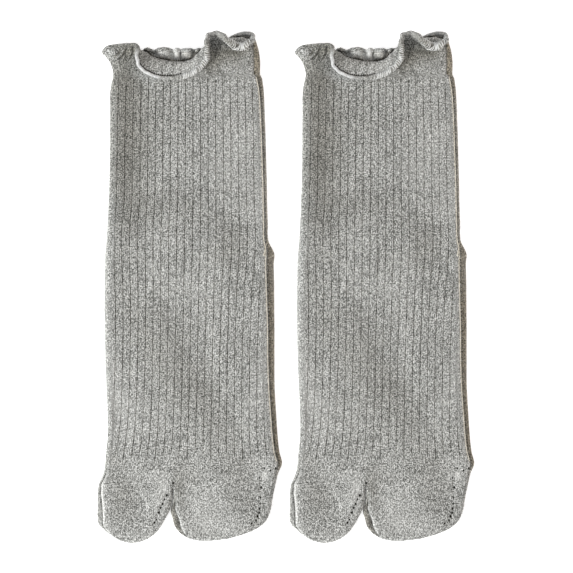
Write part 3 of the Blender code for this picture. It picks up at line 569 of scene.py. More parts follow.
def toe_pocket(skin, rows, tube_end, bridge, over, under, past):
    """A toe pocket below the tube's last ring. It takes that ring's part on its own side of the
    crotch's points over and under, and closes it with the bridge."""
    end = rows[-1].y
    y = np.concatenate([np.arange(CROTCH_Y, end + 3.0, -1.0), np.linspace(end + 3.0, end, 7)])
    row = row_at(rows, y)
    grow = ease((CROTCH_Y - y) / 4.0)[:, None]
    if rows is BIG_TOE:
        grows, up, down, ledge = (1.0, grow), slice(0, -1), slice(-2, 0, -1), "lit"
        face, back = tube_end[UP:over + 1], tube_end[under:]
        back_from, back_to = 1 / (len(back) + 1), 1.0
        first = np.vstack([tube_end[:over + 1], bridge[::-1], back])
    else:
        grows, up, down, ledge = (grow, 1.0), slice(1, -1), slice(-2, None, -1), "between the toes"
        face, back = tube_end[over:past], tube_end[past + UP:under + 1]
        back_from, back_to = 0.0, 1 - 1 / (len(back) + 1)
        first = np.vstack([bridge, tube_end[over:under + 1]])
    x_l, z_l, x_r, z_r = sides(row, np.zeros(len(y)), *grows)
    share = (face[:, 0] - face[0, 0]) / (face[-1, 0] - face[0, 0])
    x = mix(x_l[:, -1:], x_r[:, -1:], share)
    fade = np.clip(np.minimum(share, 1 - share) * 6, 0, 1) ** 0.5
    tip = ease((y - end) / 7.0)[:, None]
    z = mix(face[:, 2], row.thick[:, None] + swell_height(x, y[:, None]) * fade * tip,
            ease((CROTCH_Y - y) / 6.0)[:, None])
    low_l, low_r = x_l[:, :1], x_r[:, :1]
    share = (back[:, 0] - back[-1, 0]) / (back[0, 0] - back[-1, 0])
    x_back = mix(mix(low_l, low_r, back_from), mix(low_l, low_r, back_to), share)
    rings = as_rings(y, [x_l[:, up], x, x_r[:, down], x_back],
                     [z_l[:, up], z, z_r[:, down], np.zeros_like(x_back)])
    rings[0] = first
    shade = np.zeros(rings.shape[:2] + (4,))
    stepped_shade(shade[:, :x_l[:, up].shape[1]], ledge, row.step_l)
    # painted warm shade on the underside
    shade[:, -len(back):, WARM_SHADE] = 1.0
    closed = wrapped(rings)
    uv = stacked(closed[..., 0] / WALE + TOE_WALE, (TUBE_TOP - closed[..., 1]) / COURSE)
    skin.grid(rings, uv, shade)
    skin.cap(rings[-1], 0.25, uv[-1], shade[-1])


def ring_s(face_count):
    """s of each column of the tube's ring."""
    left = np.where(SIDE_T < SIDE_TURN, 0.24, SIDE_S / (1 - SIDE_TURN)) * (SIDE_T - SIDE_TURN)
    left = left[:-1]
    face = mix(SIDE_S, 1 - SIDE_S, np.linspace(0.0, 1.0, face_count))
    right = (1.0 - left)[::-1]
    return np.hstack([left, face, right, mix(right[-1], ROUND + left[0], UNDER_SHARE)])


# ---------------------------------------------------------------- the hollow
def hollow_edges(row, step_r):
    """x of the hollow's left and right edges inside a section of the sock."""
    return (row.left + SIDE_INSET + row.step_l * (row.lip - 0.4),
            row.right - SIDE_INSET - step_r * (row.lip - 0.4))


def hollow_rings():
    """The hollow's rings from the mouth to the toe pockets, and the s of their columns."""
    share = np.linspace(0.0, 1.0, HOLLOW_TOP + 1)
    back = (np.arange(HOLLOW_UNDER + 1) + 0.25) / (HOLLOW_UNDER + 0.5)
    rings = []
    for y in np.concatenate([np.arange(TUBE_TOP, 80.0, -2.0), np.arange(80.0, HOLLOW_END_Y, -6.0),
                             [HOLLOW_END_Y]]):
        row = row_at(SECTIONS, y)
        left, right = hollow_edges(row, row.step_r)
        low = WALL + row.heel
        x = mix(left, right, share)
        fade = ease(np.minimum(share, 1 - share) * 8)
        z = np.maximum(row.thick + fade * (swell_height(x, y) - 0.15) - WALL, low + 0.35)
        z[0], z[-1] = mix(low, z[0], 0.5), mix(low, z[-1], 0.5)
        rings.append(stacked(np.hstack([x, mix(right, left, back)]), y,
                             np.hstack([z, np.full(len(back), low)])))
    return np.stack(rings), np.hstack([share, 1 + back])


def add_hollow(skin, s, cloth_end, hollow, hollow_s):
    """Adds the hollow below the inside of the frill, whose last ring is cloth_end."""
    skin.is_outside = 0.0
    shade = np.zeros(hollow.shape[:2] + (4,))
    # painted warm shade and painted dark shade inside the hollow
    shade[..., WARM_SHADE], shade[..., LIGHT_AND_SHADE] = 0.6, -0.4
    closed = wrapped(hollow)
    uv = stacked(lengths(closed, 1) / WALE, -closed[..., 1] / COURSE)
    skin.between(s, cloth_end, hollow_s, skin.grid(hollow, uv, shade, flip=True)[0])
    last = hollow[-1]
    past = HOLLOW_TOP + 1
    over = int(np.argmin(np.abs(last[:past, 0] - CROTCH_X)))
    under = past + int(np.argmin(np.abs(last[past:, 0] - CROTCH_X)))
    for rows, first in ((BIG_TOE, np.vstack([last[:over + 1], last[under:]])),
                        (OTHER_TOES, last[over:under + 1])):
        share = (first[:, 0] - first[:, 0].min()) / np.ptp(first[:, 0])
        rings = [first]
        for y in np.linspace(CROTCH_Y - 2.0, rows[TOE_HOLLOW_ROW].y, 10):
            row = row_at(rows, y)
            z = np.minimum(first[:, 2], row.thick - WALL + 0.3)
            rings.append(stacked(mix(*hollow_edges(row, 0.0), share), y,
                                 np.where(first[:, 2] > WALL + 0.01, z, WALL)))
        rings = np.stack(rings)
        shade = np.zeros(rings.shape[:2] + (4,))
        # painted warm shade inside the toe pocket's hollow
        shade[..., WARM_SHADE] = 0.6
        uv = wrapped(rings)[..., :2] / WALE
        skin.grid(rings, uv, shade, flip=True)
        skin.cap(rings[-1], 0.3, uv[-1], np.zeros((len(first), 4)), flip=True)


# ---------------------------------------------------------------- the frill
def frill_s():
    """s of the frill's columns, closer together where it folds or ruffles."""
    values = [0.0]
    for end, count in FRILL_SPANS:
        start = values[-1]
        values += [mix(start, end, (k + 1) / count) for k in range(count)]
    return np.array(values[:-1])


def at_s(s_ring, ring, s):
    """Points of a ring at other values of s."""
    order = np.argsort(s_ring % ROUND)
    keys, points = (s_ring % ROUND)[order], ring[order]
    keys = np.hstack([keys[-1:] - ROUND, keys, keys[:1] + ROUND])
    points = np.concatenate([points[-1:], points, points[:1]])
    return np.stack([np.interp(s % ROUND, keys, points[:, k]) for k in range(3)], axis=-1)


def frill_wall(base, s):
    """Middle of the frill's wall, a row of points for each place up it, and the share of the
    way up: upright first, then round the fold and straight on past it."""
    x, rise, lean, flap, bow = (along(FRILL, name, s) for name in Fold._fields[1:6])
    lean = np.radians(np.clip(lean, 0.0, 180.0))
    lift = FRONT_LIFT * ease((1.0 - s) / 0.05) * ease((rise - 124.0) / 4.0)
    foot = base[:, 2] + lift
    rows = [(mix(base[:, 1], rise, k / STAND_ROWS), base[:, 2] + lift * ease(k / STAND_ROWS))
            for k in range(STAND_ROWS + 1)]
    for angle in (lean * k / LEAN_ROWS for k in range(1, LEAN_ROWS + 1)):
        rows.append((rise + FOLD_RADIUS * np.sin(angle), foot + FOLD_RADIUS * (1 - np.cos(angle))))
    fold_y, fold_z = rows[-1]
    for out in (flap * k / FLAP_ROWS for k in range(1, FLAP_ROWS + 1)):
        rows.append((fold_y + out * np.cos(lean), fold_z + out * np.sin(lean)))
    wall = np.stack([stacked(base[:, 0], y, z) for y, z in rows])
    up = lengths(wall, 0)
    share = up / up[-1:]
    late = 1.0 + CORNER_LATE * hump(s, np.round(s), 0.06)
    wall[..., 0] = mix(base[:, 0], x, share ** late) + bow * np.sin(math.pi * share)
    return wall, share


def frill_grids(wall, share, outer, inner, s):
    """Points of the frill's outside, its roll and its inside, with the roll's middle line."""
    round_it = np.roll(wall, -1, axis=1) - np.roll(wall, 1, axis=1)
    up_it = np.concatenate([wall[1:2] - wall[:1], wall[2:] - wall[:-2], wall[-1:] - wall[-2:-1]])
    out = np.cross(round_it, up_it)
    out /= np.linalg.norm(out, axis=-1, keepdims=True)
    up_it /= np.linalg.norm(up_it, axis=-1, keepdims=True)
    # small gathers that deepen towards the rolled edge, and the pleats
    length = lengths(wall[-1], 0)
    gather = GATHER * np.sin(length / GATHER_LENGTH * 2 * math.pi
                             + 1.5 * wander(length, length * 0, 9.0, 2))
    sunk = sum(0.35 * hump(gap_to(pleat, wall[..., 0], wall[..., 1]), 0, 0.7)
               for pleat in PLEATS) * (s < 0.2)
    wall = wall + out * (gather * share ** 2 - sunk)[..., None]
    half = np.minimum(np.linalg.norm(outer - inner, axis=-1) / 2, 0.8)
    thick = mix(half, FRILL_WALL / 2, ease(share * 4))[..., None]
    edge, radius = wall[-1].copy(), along(FRILL, "roll", s)
    wall[-1] = edge - up_it[-1] * radius[:, None]
    roll = [edge + radius[:, None] * (math.cos(turn) * up_it[-1] + math.sin(turn) * out[-1])
            for turn in np.radians(np.linspace(ROLL_TURN, -ROLL_TURN, ROLL_ROWS))]
    outside, inside = wall + out * thick, wall - out * thick
    return outside[1:], np.stack(roll), inside[::-1][:-1], edge, radius


def behind_fold(over, wall, x, y, s):
    """How far the wall behind lies past the line that the front folds over along."""
    chosen = (s > over.s_from) & (s < over.s_to)
    top = wall[:STAND_ROWS + LEAN_ROWS + 1, chosen, 1].argmax(axis=0)
    line = wall[top, np.flatnonzero(chosen)]
    line = line[np.argsort(line[:, 0])]
    fold_x, fold_y = line[:, 0], line[:, 1] + FRILL_WALL / 2 + BEHIND_FOLD
    under = (y < np.interp(x, fold_x, fold_y)) & (x > fold_x[0]) & (x < fold_x[-1])
    fold = [Spot(a, b) for a, b in zip(fold_x[::3], fold_y[::3])]
    return np.where(under, 0.0, gap_to(fold, x, y))


def frill_shade(sheet, outside, inside, wall, s):
    """Shade of the frill's outside, roll and inside, one under another in its sheet."""
    shade = np.zeros(sheet.shape[:2] + (4,))
    n_out, n_in = len(outside), len(inside)
    rolled = slice(n_out, n_out + ROLL_ROWS)
    within = slice(n_out + ROLL_ROWS, None)
    back = s > 1.0
    edge = row_at(EDGES, s)
    # the roll painted paler as a highlight and darker under its stitches; painted light and shade on
    # the wall's inside and where it folds, and painted shade in the creases on both sides of the
    # roll
    shade[rolled, :, PALE] = 0.5 * edge.pale
    paler = np.maximum(edge.pale - 0.6, 0.0) * ~back
    shade[rolled, :, LIGHT_AND_SHADE] = -STITCH_DARK * edge.stitch + PALE_LIFT * paler
    turned = (np.arange(n_in) - FLAP_ROWS - LEAN_ROWS * 0.55)[:, None]
    shade[within, :, LIGHT_AND_SHADE] = (edge.inside * (1 - ease(np.linspace(-0.3, 1.3, n_in)))[:, None]
                              + hump(turned, 0, 2.8) * edge.fold)
    shade[rolled.stop - 1:rolled.stop + 1, :, LIGHT_AND_SHADE] = -edge.crease
    shade[n_out - 1:n_out + 1, :, LIGHT_AND_SHADE] = -CREASE - EAR_CREASE * hump(s, EAR, 0.09)
    # the front stands about 5 mm over the back layer, and shade is painted dark on the back layer
    # close behind it
    seen = (np.arange(len(sheet)) > n_out + ROLL_ROWS // 2)[:, None] & back
    for over in FOLDS_OVER:
        behind = behind_fold(over, wall, sheet[..., 0], sheet[..., 1], s)
        shade[..., LIGHT_AND_SHADE] -= (over.faint * hump(behind, 0, 2.2)
                             + over.dark * hump(behind, 0, over.reach)) * seen
    # painted warm shade on the back layer, most on its inside at the right corner and in one ruffle
    warm = 0.7 * hump(s, 1.45, 0.06) + 0.7 * hump(s, 1.04, 0.10)
    shade[within, :, WARM_SHADE] = (np.linspace(0.0, 1.0, n_in)[:, None] ** 2 * np.where(back, 0.8, 0.5)
                              + warm)
    shade[:n_out, :, WARM_SHADE] = back * (1 - np.linspace(0, 1, n_out)[:, None])
    # the painted shade of the ribs' grooves at the right runs on into the foot of the frill
    x = outside[..., 0]
    rib = (x - RIBS[0].middle - RIB_SHIFT) / RIBS[0].pitch
    top = TUBE_TOP + 4.8 * ease((x - 4.0) / 4.0) + 0.8 * np.sin(np.round(rib) * 2.3)
    shade[:n_out, :, GROOVE] = (1.2 * hump(rib, np.round(rib), 0.11) * (s < 0.9)
                                * ease((top - outside[..., 1]) / 2.0))
    # the painted light and shade of the ledge at the right goes on up the frill
    for channel, up in zip((WARM_SHADE, LIGHT_AND_SHADE), ledge_shade(LEDGES["shaded"])):
        on_ledge = np.interp(mix(SIDE_TURN, 1.0, (1.0 - s) / SIDE_S), SIDE_T[:-1], up)
        shade[:n_out, :, channel] += np.where((s > 1 - SIDE_S) & ~back, on_ledge, 0.0)
    return shade


def cloth_mesh(name, skin):
    """The welded mesh of a skin, with its knit map, its shade and where it is napped."""
    points, maps, shade, outside = (np.concatenate(parts) for parts in zip(*skin.patches))
    points[:, 2] = np.maximum(points[:, 2], 0.0)
    x, y, z = points.T
    # painted light and shade in patches over the knit
    shade[:, LIGHT_AND_SHADE] += 0.5 + hills(PAINTED_LIGHT_AND_SHADE, x, y)
    # painted shade along each pleat, with a painted light line beside it
    for pleat in PLEATS:
        gap = gap_to(pleat, x, y)
        shade[:, LIGHT_AND_SHADE] += 0.1 * hump(gap, 1.1, 0.5) - 0.4 * hump(gap, 0, 0.4)
    napped = outside * (z > NAP_FROM) * np.where(y > NAP_THIN_FROM, 0.3, 1.0)
    mesh = bpy.data.meshes.new(name)
    mesh.from_pydata(own(points).tolist(), [], skin.faces)
    corners = np.empty(len(mesh.loops), np.int32)
    mesh.loops.foreach_get("vertex_index", corners)
    mesh.uv_layers.new(name="knit").data.foreach_set(
        "uv", maps[corners].astype(np.float32).ravel())
    colour = mesh.color_attributes.new("shade", "FLOAT_COLOR", "POINT")
    colour.data.foreach_set("color", shade.astype(np.float32).ravel())
    mesh.attributes.new("napped", "FLOAT", "POINT").data.foreach_set(
        "value", napped.astype(np.float32))
    work = bmesh.new()
    work.from_mesh(mesh)
    bmesh.ops.remove_doubles(work, verts=work.verts, dist=2e-6)
    work.to_mesh(mesh)
    work.free()
    mesh.shade_smooth()
    return mesh


def sock_cloth(name):
    """A sock's cloth, and the lines for its stitches: the roll's with its radius and s, the
    face's right edge and the gap beside the neck."""
    skin, points = sock_skin()
    hollow, hollow_s = hollow_rings()
    face_count = points.shape[1] - 2 * UP - UNDER_COLUMNS
    tube_s, s = ring_s(face_count), frill_s()
    outer, inner = at_s(tube_s, points[0], s), at_s(hollow_s, hollow[0], s)
    wall, share = frill_wall((outer + inner) / 2, s)
    outside, roll, inside, edge, edge_size = frill_grids(wall, share, outer, inner, s)
    sheet = np.concatenate([outside, roll, inside])
    closed = wrapped(sheet)
    uv = stacked(lengths(closed, 1).mean(axis=0) / WALE + FRILL_WALE, -lengths(closed, 0) / COURSE)
    cloth = skin.grid(sheet, uv, frill_shade(sheet, outside, inside, wall, s), flip=True)
    foot_wale = np.interp(tube_s % ROUND, np.append(s, ROUND), uv[0, :, 0])
    foot = skin.add(points[0], stacked(foot_wale, 3.0), skin.patches[0][2][:len(tube_s)])
    skin.between(tube_s, foot, s, cloth[0])
    add_hollow(skin, s, cloth[-1], hollow, hollow_s)
    face_edge = points[points[:, 0, 1] > FACE_SEAM_END, UP + face_count + 2]
    neck_gap = inside[0, (s > NECK_FROM) & (s < NECK_TO)]
    return cloth_mesh(name, skin), edge, edge_size, s, face_edge, neck_gap


# ---------------------------------------------------------------- nodes and materials
def linear(code):
    """An sRGB hex colour as linear values."""
    parts = [int(code[k:k + 2], 16) / 255 for k in (1, 3, 5)]
    return tuple(c / 12.92 if c <= 0.04045 else ((c + 0.055) / 1.055) ** 2.4 for c in parts) + (1.0,)


def node(tree, kind, inputs=(), **settings):
    """Adds a node; a kind all in capitals is an operation of the maths node. Settings go to its
    properties or named inputs; inputs, a list or a dict by place or name, take a value, a socket
    or another node's first live output."""
    made = tree.nodes.new("ShaderNodeMath" if kind.isupper() else kind)
    if kind.isupper():
        made.operation = kind
    ports = dict(inputs if isinstance(inputs, dict) else enumerate(inputs))
    for name, value in settings.items():
        if hasattr(made, name):
            setattr(made, name, value)
        else:
            ports[name.replace("_", " ")] = value
    for port, value in ports.items():
        if isinstance(value, bpy.types.Node):
            value = next(socket for socket in value.outputs if socket.enabled)
        if isinstance(value, bpy.types.NodeSocket):
            tree.links.new(value, made.inputs[port])
        else:
            made.inputs[port].default_value = value
    return made


def material_tree(name, **settings):
    """A new material with constants set on its shader."""
    material = bpy.data.materials.new(name)
    material.use_nodes = True
    shader = material.node_tree.nodes["Principled BSDF"]
    for label, value in settings.items():
        shader.inputs[label.replace("_", " ")].default_value = value
    return material, material.node_tree, shader


def ramp_colours(ramp, stops):
    """Sets a ramp's stops from (place, hex colour) pairs."""
    band = ramp.color_ramp
    while len(band.elements) < len(stops):
        band.elements.new(0.5)
    for element, (place, code) in zip(band.elements, stops):
        element.position, element.color = place, linear(code)


def heather_knit():
    """Brushed cotton-mix jersey. Its yarn is spun from dark and light fibres, so each stitch
    has a tone of its own; roughness and sheen give the soft, matt, slightly napped look."""
    material, t, shader = material_tree("heather_grey_cotton_knit", Roughness=0.92,
                                        Specular_IOR_Level=0.15, Sheen_Weight=0.25,
                                        Sheen_Roughness=0.55)
    place = node(t, "ShaderNodeUVMap", uv_map="knit")
    wale, course = node(t, "ShaderNodeSeparateXYZ", [place]).outputs[:2]

    # V of the stitches: courses dip towards the middle of each wale. The real stitch's yarn is
    # too fine to show, so it is drawn coarser: each half stitch has one tone over its whole width.
    part = node(t, "FRACT", [wale])
    side = node(t, "ABSOLUTE", [node(t, "SUBTRACT", [part, 0.5])])
    slanted = node(t, "MULTIPLY_ADD", [side, 0.9, course])
    half = node(t, "FLOOR", [node(t, "MULTIPLY", [wale, 2.0])])
    cell = node(t, "ShaderNodeCombineXYZ", [half, node(t, "FLOOR", [slanted])])
    stitch_tone = node(t, "ShaderNodeTexWhiteNoise", {"Vector": cell}, noise_dimensions="2D")
    bulge_v, bulge_u = (node(t, "SINE", [node(t, "MULTIPLY", [run, math.pi])])
                        for run in (node(t, "FRACT", [slanted]), part))
    relief = node(t, "MULTIPLY", [bulge_v, node(t, "POWER", [bulge_u, 0.5])])

    # flecks of fibre, about three quarters of a stitch across, and a slow drift of the yarn
    fleck_place = node(t, "ShaderNodeMapping", {"Vector": place, "Scale": (1.55, 1.35, 1.0)})
    flecks = node(t, "ShaderNodeTexNoise", {"Vector": fleck_place}, noise_dimensions="2D",
                  Scale=1.0, Detail=2.0, Roughness=0.65, Distortion=0.6)
    drift = node(t, "ShaderNodeTexNoise", {"Vector": place}, noise_dimensions="2D",
                 Scale=0.045, Detail=2.0, Roughness=0.5)
    # each source's gain times its mean comes off, so that the sum stays round the ramp's middle; the
    # relief paints light on each stitch's bulge and shade between the stitches
    sources = ((flecks, FLECK_GAIN, 0.5), (stitch_tone, 0.65, 0.5), (drift, 0.25, 0.5),
               (relief, 0.30, 0.6167))
    tone = 0.5 - sum(gain * mean for _, gain, mean in sources)
    for source, gain, _ in sources:
        tone = node(t, "MULTIPLY_ADD", [source, gain, tone])
    colour = node(t, "ShaderNodeValToRGB", [tone])
    ramp_colours(colour, [(0.0, "#494A45"), (0.5, "#9B9C98"), (1.0, "#E3E4E0")])

    # painted shade down in the grooves: a row of small dark gaps between the courses, some of them
    # closed up
    shade = node(t, "ShaderNodeVertexColor", layer_name="shade")
    depth, warm, lifted = node(t, "ShaderNodeSeparateColor", [shade.outputs[0]]).outputs
    gap_place = node(t, "ShaderNodeMapping", {"Vector": place, "Scale": (0.25, 0.55, 1.0)})
    gaps = node(t, "ShaderNodeTexNoise", {"Vector": gap_place}, noise_dimensions="2D", Scale=1.0,
                Detail=1.0)
    open_gap = node(t, "ShaderNodeMapRange", [gaps, 0.35, 0.56, 0.15, 1.0])
    groove = node(t, "MULTIPLY", [depth, open_gap])
    # the alpha holds painted light and shade: the knit is painted darker below its middle, darker
    # still far below it, and paler above it the warm tint is painted warm shade, and the pale mix a
    # painted highlight on the roll
    tone = node(t, "SUBTRACT", [shade.outputs[1], 0.5])
    dark = node(t, "MULTIPLY", [tone, -2.0], use_clamp=True)
    deep = node(t, "MULTIPLY_ADD", [tone, -2.0, -1.0], use_clamp=True)
    pale = node(t, "MULTIPLY", [tone, 1.0], use_clamp=True)
    for blend, share, code in (("MULTIPLY", groove, "#95948B"), ("MULTIPLY", warm, "#E2D6C3"),
                               ("MIX", lifted, "#E6E8E8"), ("MULTIPLY", dark, "#BCB9B1"),
                               ("MULTIPLY", deep, "#4E4C46"), ("MIX", pale, "#FFFFFA")):
        colour = node(t, "ShaderNodeMix", {0: share, 6: colour, 7: linear(code)},
                      data_type="RGBA", blend_type=blend)
    t.links.new(colour.outputs[2], shader.inputs["Base Color"])
    height = node(t, "MULTIPLY_ADD", [flecks, 0.5, relief])
    bump = node(t, "ShaderNodeBump", {"Height": height}, Strength=0.6, Distance=0.00035)
    t.links.new(bump.outputs[0], shader.inputs["Normal"])
    return material


def spun_fibre(name, fineness, stops, paleness=0.0, **settings):
    """Matt cotton fibre with a faint sheen. Its tone drifts from place to place, and a line's own
    paleness can lift it."""
    material, t, shader = material_tree(name, **settings)
    place = node(t, "ShaderNodeTexCoord").outputs["Object"]
    tone = node(t, "ShaderNodeTexNoise", {"Vector": place}, Scale=fineness, Detail=1.0)
    if paleness:
        lift = node(t, "ShaderNodeAttribute", attribute_name="paleness").outputs["Fac"]
        tone = node(t, "MULTIPLY_ADD", [lift, paleness, tone])
    colour = node(t, "ShaderNodeValToRGB", [tone])
    ramp_colours(colour, stops)
    t.links.new(colour.outputs[0], shader.inputs["Base Color"])
    return material


# ---------------------------------------------------------------- stitches by geometry nodes
def nodes_group(name, **inputs):
    """A geometry node tree that takes a mesh, its sizes and seed by name, and a material."""
    group = bpy.data.node_groups.new(name, "GeometryNodeTree")
    add = group.interface.new_socket
    add("Geometry", in_out="INPUT", socket_type="NodeSocketGeometry")
    for label, value in inputs.items():
        kind = "NodeSocketInt" if isinstance(value, int) else "NodeSocketFloat"
        add(label.replace("_", " "), in_out="INPUT", socket_type=kind).default_value = value
    add("Material", in_out="INPUT", socket_type="NodeSocketMaterial")
    add("Geometry", in_out="OUTPUT", socket_type="NodeSocketGeometry")
    return group, group.nodes.new("NodeGroupInput").outputs


def swings(t, given, seeds):
    """A random angle from minus to plus the Lean for each seed."""
    low = node(t, "MULTIPLY", [given["Lean"], -1.0])
    return [node(t, "FunctionNodeRandomValue", {2: low, 3: given["Lean"], "Seed": seed},
                 data_type="FLOAT").outputs[1] for seed in seeds]


def tipped(t, turn, lean):
    """A turn with lean angles about its own axes added."""
    angles = node(t, "FunctionNodeEulerToRotation", [node(t, "ShaderNodeCombineXYZ", lean)])
    return node(t, "FunctionNodeRotateRotation", [turn, angles], rotation_space="LOCAL")


def pitched_line(t, given, steady=None):
    """Points a pitch apart along the source line, and a turn for each with its Z along the line
    and a random lean; a steady lean about Y can take the random one's place."""
    line = node(t, "GeometryNodeMeshToCurve", [given["Geometry"]])
    spaced = node(t, "GeometryNodeResampleCurve", {0: line, 3: given["Pitch"]}, mode="LENGTH")
    tilt = swings(t, given, [given["Seed"]])[0]
    turn = node(t, "FunctionNodeAlignRotationToVector",
                {"Vector": node(t, "GeometryNodeInputTangent")}, axis="Z")
    return spaced, tipped(t, turn, [tilt, steady or tilt])


def copies(t, given, points, piece, scale, turn=None):
    """The end of every tree: a real copy of a piece at each point, with the given material."""
    placed = node(t, "GeometryNodeInstanceOnPoints", {
        0: points, "Instance": piece, "Scale": scale, **({"Rotation": turn} if turn else {})})
    real = node(t, "GeometryNodeRealizeInstances", [placed])
    node(t, "NodeGroupOutput", [node(t, "GeometryNodeSetMaterial",
                                     {0: real, "Material": given["Material"]})])
    return t


def oversewn_edge():
    """Thread loops round a rolled edge, one for each pitch along it. The loop radius comes from
    the line's own attribute."""
    t, given = nodes_group("oversewn_edge", Pitch=1.0, Thread_radius=0.2, Lean=0.2, Seed=4)
    size = node(t, "GeometryNodeInputNamedAttribute", Name="loop_radius", data_type="FLOAT")
    # the loop is drawn one unit across and scaled, its thread made thinner to match
    thinner = node(t, "DIVIDE", [given["Thread radius"], ROLL_RADIUS * MM])
    path = node(t, "GeometryNodeCurvePrimitiveCircle", Radius=1.0, Resolution=10)
    thread = node(t, "GeometryNodeCurvePrimitiveCircle", Radius=thinner, Resolution=4)
    loop = node(t, "GeometryNodeCurveToMesh", [path, thread])
    spaced, turn = pitched_line(t, given, steady=given["Lean"])
    return copies(t, given, spaced, loop, size, turn)


def stitch_row():
    """Small stitches one after another along a line, each a little off it."""
    t, given = nodes_group("stitch_row", Pitch=1.0, Length=1.0, Width=0.3, Lean=0.3, Seed=3)
    bead = node(t, "GeometryNodeMeshIcoSphere", Radius=0.5, Subdivisions=2)
    scale = node(t, "ShaderNodeCombineXYZ", [given["Width"], given["Width"], given["Length"]])
    spaced, turn = pitched_line(t, given)
    return copies(t, given, spaced, bead, scale, turn)


def nap_fibres():
    """Fine fibre ends standing off the knit, closer together where its sides turn down."""
    t, given = nodes_group("nap_fibres", Density=1.0, Length=1.0, Thickness=0.05, Lean=0.8, Seed=9)
    facing = node(t, "ShaderNodeSeparateXYZ", [node(t, "GeometryNodeInputNormal")])
    flat = node(t, "ABSOLUTE", [facing.outputs["Z"]])
    sideways = node(t, "MULTIPLY_ADD", [flat, -0.93, 1.0])
    napped = node(t, "GeometryNodeInputNamedAttribute", Name="napped", data_type="FLOAT")
    share = node(t, "MULTIPLY", [sideways, napped])
    density = node(t, "MULTIPLY", [share, given["Density"]])
    spread = node(t, "GeometryNodeDistributePointsOnFaces",
                  {0: given["Geometry"], 4: density, "Seed": given["Seed"]},
                  distribute_method="RANDOM")
    path = node(t, "GeometryNodeCurveQuadraticBezier", Resolution=2, Start=(0, 0, -0.1),
                Middle=(0.1, 0.0, 0.5), End=(0.55, 0.1, 0.85))
    thin = node(t, "DIVIDE", [given["Thickness"], given["Length"]])
    hair = node(t, "GeometryNodeCurvePrimitiveCircle", Radius=thin, Resolution=3)
    fibre = node(t, "GeometryNodeCurveToMesh", [path, hair], Fill_Caps=True)
    spin, size = (node(t, "FunctionNodeRandomValue", {2: low, 3: high, "Seed": seed},
                       data_type="FLOAT").outputs[1]
                  for low, high, seed in ((0.0, 2 * math.pi, 23), (0.5, 1.0, 24)))
    turn = tipped(t, spread.outputs["Rotation"], swings(t, given, (21, 22)) + [spin])
    scale = node(t, "MULTIPLY", [size, given["Length"]])
    return copies(t, given, spread.outputs["Points"], fibre, scale, turn)


def eyelets():
    """Small dents at points, each with a size of its own; the material given paints them dark as the
    shade in a hollow.
    """
    t, given = nodes_group("eyelets", Smallest=0.3, Largest=0.6, Seed=7)
    dip = node(t, "GeometryNodeMeshIcoSphere", Radius=1.0, Subdivisions=1)
    size = node(t, "FunctionNodeRandomValue", {2: given["Smallest"], 3: given["Largest"],
                                               "Seed": given["Seed"]}, data_type="FLOAT").outputs[1]
    long, flat = (node(t, "MULTIPLY", [size, share]) for share in (1.35, 0.45))
    scale = node(t, "ShaderNodeCombineXYZ", [size, long, flat])
    return copies(t, given, node(t, "GeometryNodeMeshToPoints", [given["Geometry"]]), dip, scale)


def placed(name, data):
    """A new object in the scene."""
    made = bpy.data.objects.new(name, data)
    bpy.context.scene.collection.objects.link(made)
    return made


def grown(name, source, group, **values):
    """The plain mesh that a node tree makes from a source mesh."""
    holder = placed(name, source)
    maker = holder.modifiers.new(name, "NODES")
    maker.node_group = group
    found = {socket.name: socket.identifier for socket in group.interface.items_tree}
    for label, value in values.items():
        maker[found[label.replace("_", " ")]] = value
    graph = bpy.context.evaluated_depsgraph_get()
    mesh = bpy.data.meshes.new_from_object(holder.evaluated_get(graph))
    bpy.data.objects.remove(holder)
    return mesh


def point_mesh(points, joined=True, closed=False, **values):
    """A mesh of points, joined in a line or a loop, with named values at each."""
    count = len(points)
    mesh = bpy.data.meshes.new("points")
    edges = [(k, (k + 1) % count) for k in range(count if closed else count - 1)] if joined else []
    mesh.from_pydata([tuple(p) for p in points], edges, [])
    for label, numbers in values.items():
        mesh.attributes.new(label, "FLOAT", "POINT").data.foreach_set(
            "value", np.asarray(numbers, np.float32))
    return mesh


def joined(meshes):
    """One mesh of several with the same material."""
    if len(meshes) == 1:
        return meshes[0].copy()
    work = bmesh.new()
    for mesh in meshes:
        work.from_mesh(mesh)
    for face in work.faces:
        face.material_index = 0
    whole = bpy.data.meshes.new(meshes[0].name)
    work.to_mesh(whole)
    work.free()
    whole.materials.append(next(kind for kind in meshes[0].materials if kind))
    return whole


# ---------------------------------------------------------------- the pair
knit_mesh, roll_line, roll_size, roll_s, face_edge, neck_gap = sock_cloth("sock_knit")
knit_mesh.materials.append(heather_knit())

work = bmesh.new()
work.from_mesh(knit_mesh)
face_finder = BVHTree.FromBMesh(work)
work.free()


def on_face(spots, sink):
    """Points on top of the knit over given places, sunk into it or, below zero, raised."""
    points = []
    for spot in spots:
        x, y = own([(spot.x, spot.y, 0.0)])[0][:2]
        hit = face_finder.ray_cast(Vector((x, y, 0.05)), Vector((0, 0, -1)))[0]
        points.append((x, y, hit.z - sink * MM))
    return points


stitched = along(EDGES, "stitch", roll_s)
loop_size = roll_size - 0.50 * (1.0 - stitched)      # loops sink in where they hardly show
roll_points = own(roll_line)
roll_points[:, 2] = np.maximum(roll_points[:, 2], (roll_size + 0.2) * MM)
overlock = spun_fibre("pale_overlock_thread", 900.0, [(0.35, "#84857F"), (1.0, "#E2E3E0")],
                      paleness=0.50, Roughness=0.85, Specular_IOR_Level=0.2, Sheen_Weight=0.2)
roll_stitches = grown(
    "roll_stitches",
    point_mesh(roll_points, closed=True, loop_radius=loop_size * MM, paleness=stitched),
    oversewn_edge(), Pitch=WALE * MM, Thread_radius=0.28 * MM, Lean=0.32, Seed=4, Material=overlock)

